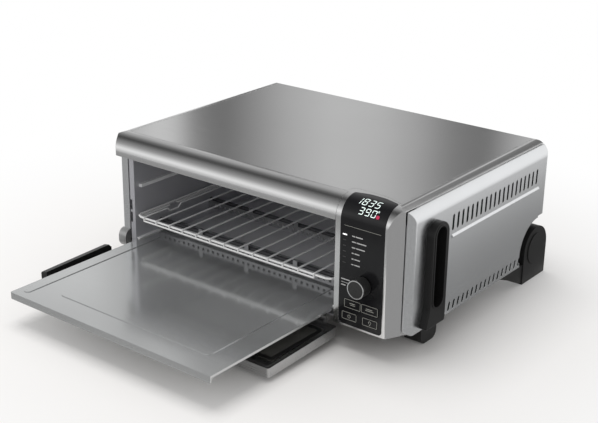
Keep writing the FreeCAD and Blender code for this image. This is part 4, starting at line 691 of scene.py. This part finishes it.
def vault():
    """Boards bent round the length of the oven, dark overhead and light towards the front."""
    verts = []
    faces = []
    start, end = VAULT_STOPS[0][0], VAULT_STOPS[-1][0]
    for i in range(VAULT_STEPS + 1):
        angle = math.radians(start + (end - start) * i / VAULT_STEPS)
        verts += [(x, VAULT_R * math.cos(angle), VAULT_R * math.sin(angle)) for x in VAULT_X]
        if i:
            faces.append((2 * i - 2, 2 * i - 1, 2 * i + 1, 2 * i))
    board = reflected_board("vault", verts, faces, VAULT_STOPS, angle_round_x)
    board.location = (0, NOSE_AXIS_Y, NOSE_AXIS_Z)


def seen_directly(tree):
    """1 for camera, glossy and transmission rays."""
    path = tree.nodes.new("ShaderNodeLightPath").outputs
    first = math_node(tree, "MAXIMUM", path["Is Camera Ray"], path["Is Glossy Ray"])
    return math_node(tree, "MAXIMUM", first, path["Is Transmission Ray"])


def studio_world():
    """Soft even light that looks plain white where it is seen directly."""
    world = bpy.data.worlds.new("studio")
    world.use_nodes = True
    bpy.context.scene.world = world
    tree = world.node_tree
    tree.nodes.clear()
    output = tree.nodes.new("ShaderNodeOutputWorld")
    mix = tree.nodes.new("ShaderNodeMixShader")
    for socket, strength in ((1, AMBIENT), (2, 1.0)):
        light = tree.nodes.new("ShaderNodeBackground")
        light.inputs["Color"].default_value = (1, 1, 1, 1)
        light.inputs["Strength"].default_value = strength
        tree.links.new(light.outputs["Background"], mix.inputs[socket])
    tree.links.new(seen_directly(tree), mix.inputs["Fac"])
    tree.links.new(mix.outputs["Shader"], output.inputs["Surface"])


def floor():
    """Pale paper that passes into plain white away from the oven and its shadow."""
    mesh = bpy.data.meshes.new("floor")
    edges = corners(-FLOOR_HALF, FLOOR_HALF, -FLOOR_HALF, FLOOR_HALF)
    mesh.from_pydata([(x, y, 0) for x, y in edges], [], ONE_FACE)
    mat, tree, shader = new_material("floor_paper")
    shader.inputs["Base Color"].default_value = (*PAPER, 1)
    shader.inputs["Roughness"].default_value = PAPER_ROUGHNESS
    shader.inputs["Specular IOR Level"].default_value = PAPER_SHEEN
    coord = tree.nodes.new("ShaderNodeTexCoord")
    reach = tree.nodes.new("ShaderNodeVectorMath")
    reach.operation = "LENGTH"
    tree.links.new(coord.outputs["Object"], reach.inputs[0])
    fade = tree.nodes.new("ShaderNodeMapRange")
    fade.interpolation_type = "SMOOTHSTEP"
    near, far = FLOOR_FADE
    fade.inputs["From Min"].default_value = near
    fade.inputs["From Max"].default_value = far
    tree.links.new(reach.outputs["Value"], fade.inputs["Value"])
    share = math_node(tree, "MULTIPLY", seen_directly(tree), fade.outputs["Result"])
    glow = tree.nodes.new("ShaderNodeEmission")
    blend = tree.nodes.new("ShaderNodeMixShader")
    tree.links.new(share, blend.inputs["Fac"])
    tree.links.new(shader.outputs["BSDF"], blend.inputs[1])
    tree.links.new(glow.outputs["Emission"], blend.inputs[2])
    tree.links.new(blend.outputs["Shader"], tree.nodes["Material Output"].inputs["Surface"])
    mat.cycles.emission_sampling = "NONE"
    mesh.materials.append(mat)
    ground = new_object("floor", mesh)


studio_world()
floor()
back_board()
floor_boards()
vault()
for lamp in LAMPS:
    area_lamp(*lamp)


# Camera at the photograph's place, from the middle of the casing's front on the floor, and its
# turn in degrees
CAMERA_PLACE = Vector((0.910364, -1.052372, 0.680))
CAMERA_TURN = (68.6357, -0.0778, 39.6831)
FOCAL_PX = 1196.914
CENTRE_PX = (263.487, 212.574)
IMAGE_PX = (598, 423)
SENSOR_MM = 36.0
CLIP_START = 0.01


def photo_camera():
    data = bpy.data.cameras.new("photo_camera")
    data.sensor_fit = "HORIZONTAL"
    data.sensor_width = SENSOR_MM
    data.lens = FOCAL_PX / IMAGE_PX[0] * SENSOR_MM
    data.shift_x = (IMAGE_PX[0] / 2 - CENTRE_PX[0]) / IMAGE_PX[0]
    data.shift_y = (CENTRE_PX[1] - IMAGE_PX[1] / 2) / IMAGE_PX[0]
    data.clip_start = CLIP_START
    camera = new_object("photo_camera", data)
    place = CAMERA_PLACE + Vector((0, FRONT_Y, 0))
    turn = Euler([math.radians(angle) for angle in CAMERA_TURN])
    camera.matrix_world = Matrix.LocRotScale(place, turn, None)
    bpy.context.scene.camera = camera


photo_camera()
bpy.context.scene.view_settings.view_transform = "Standard"
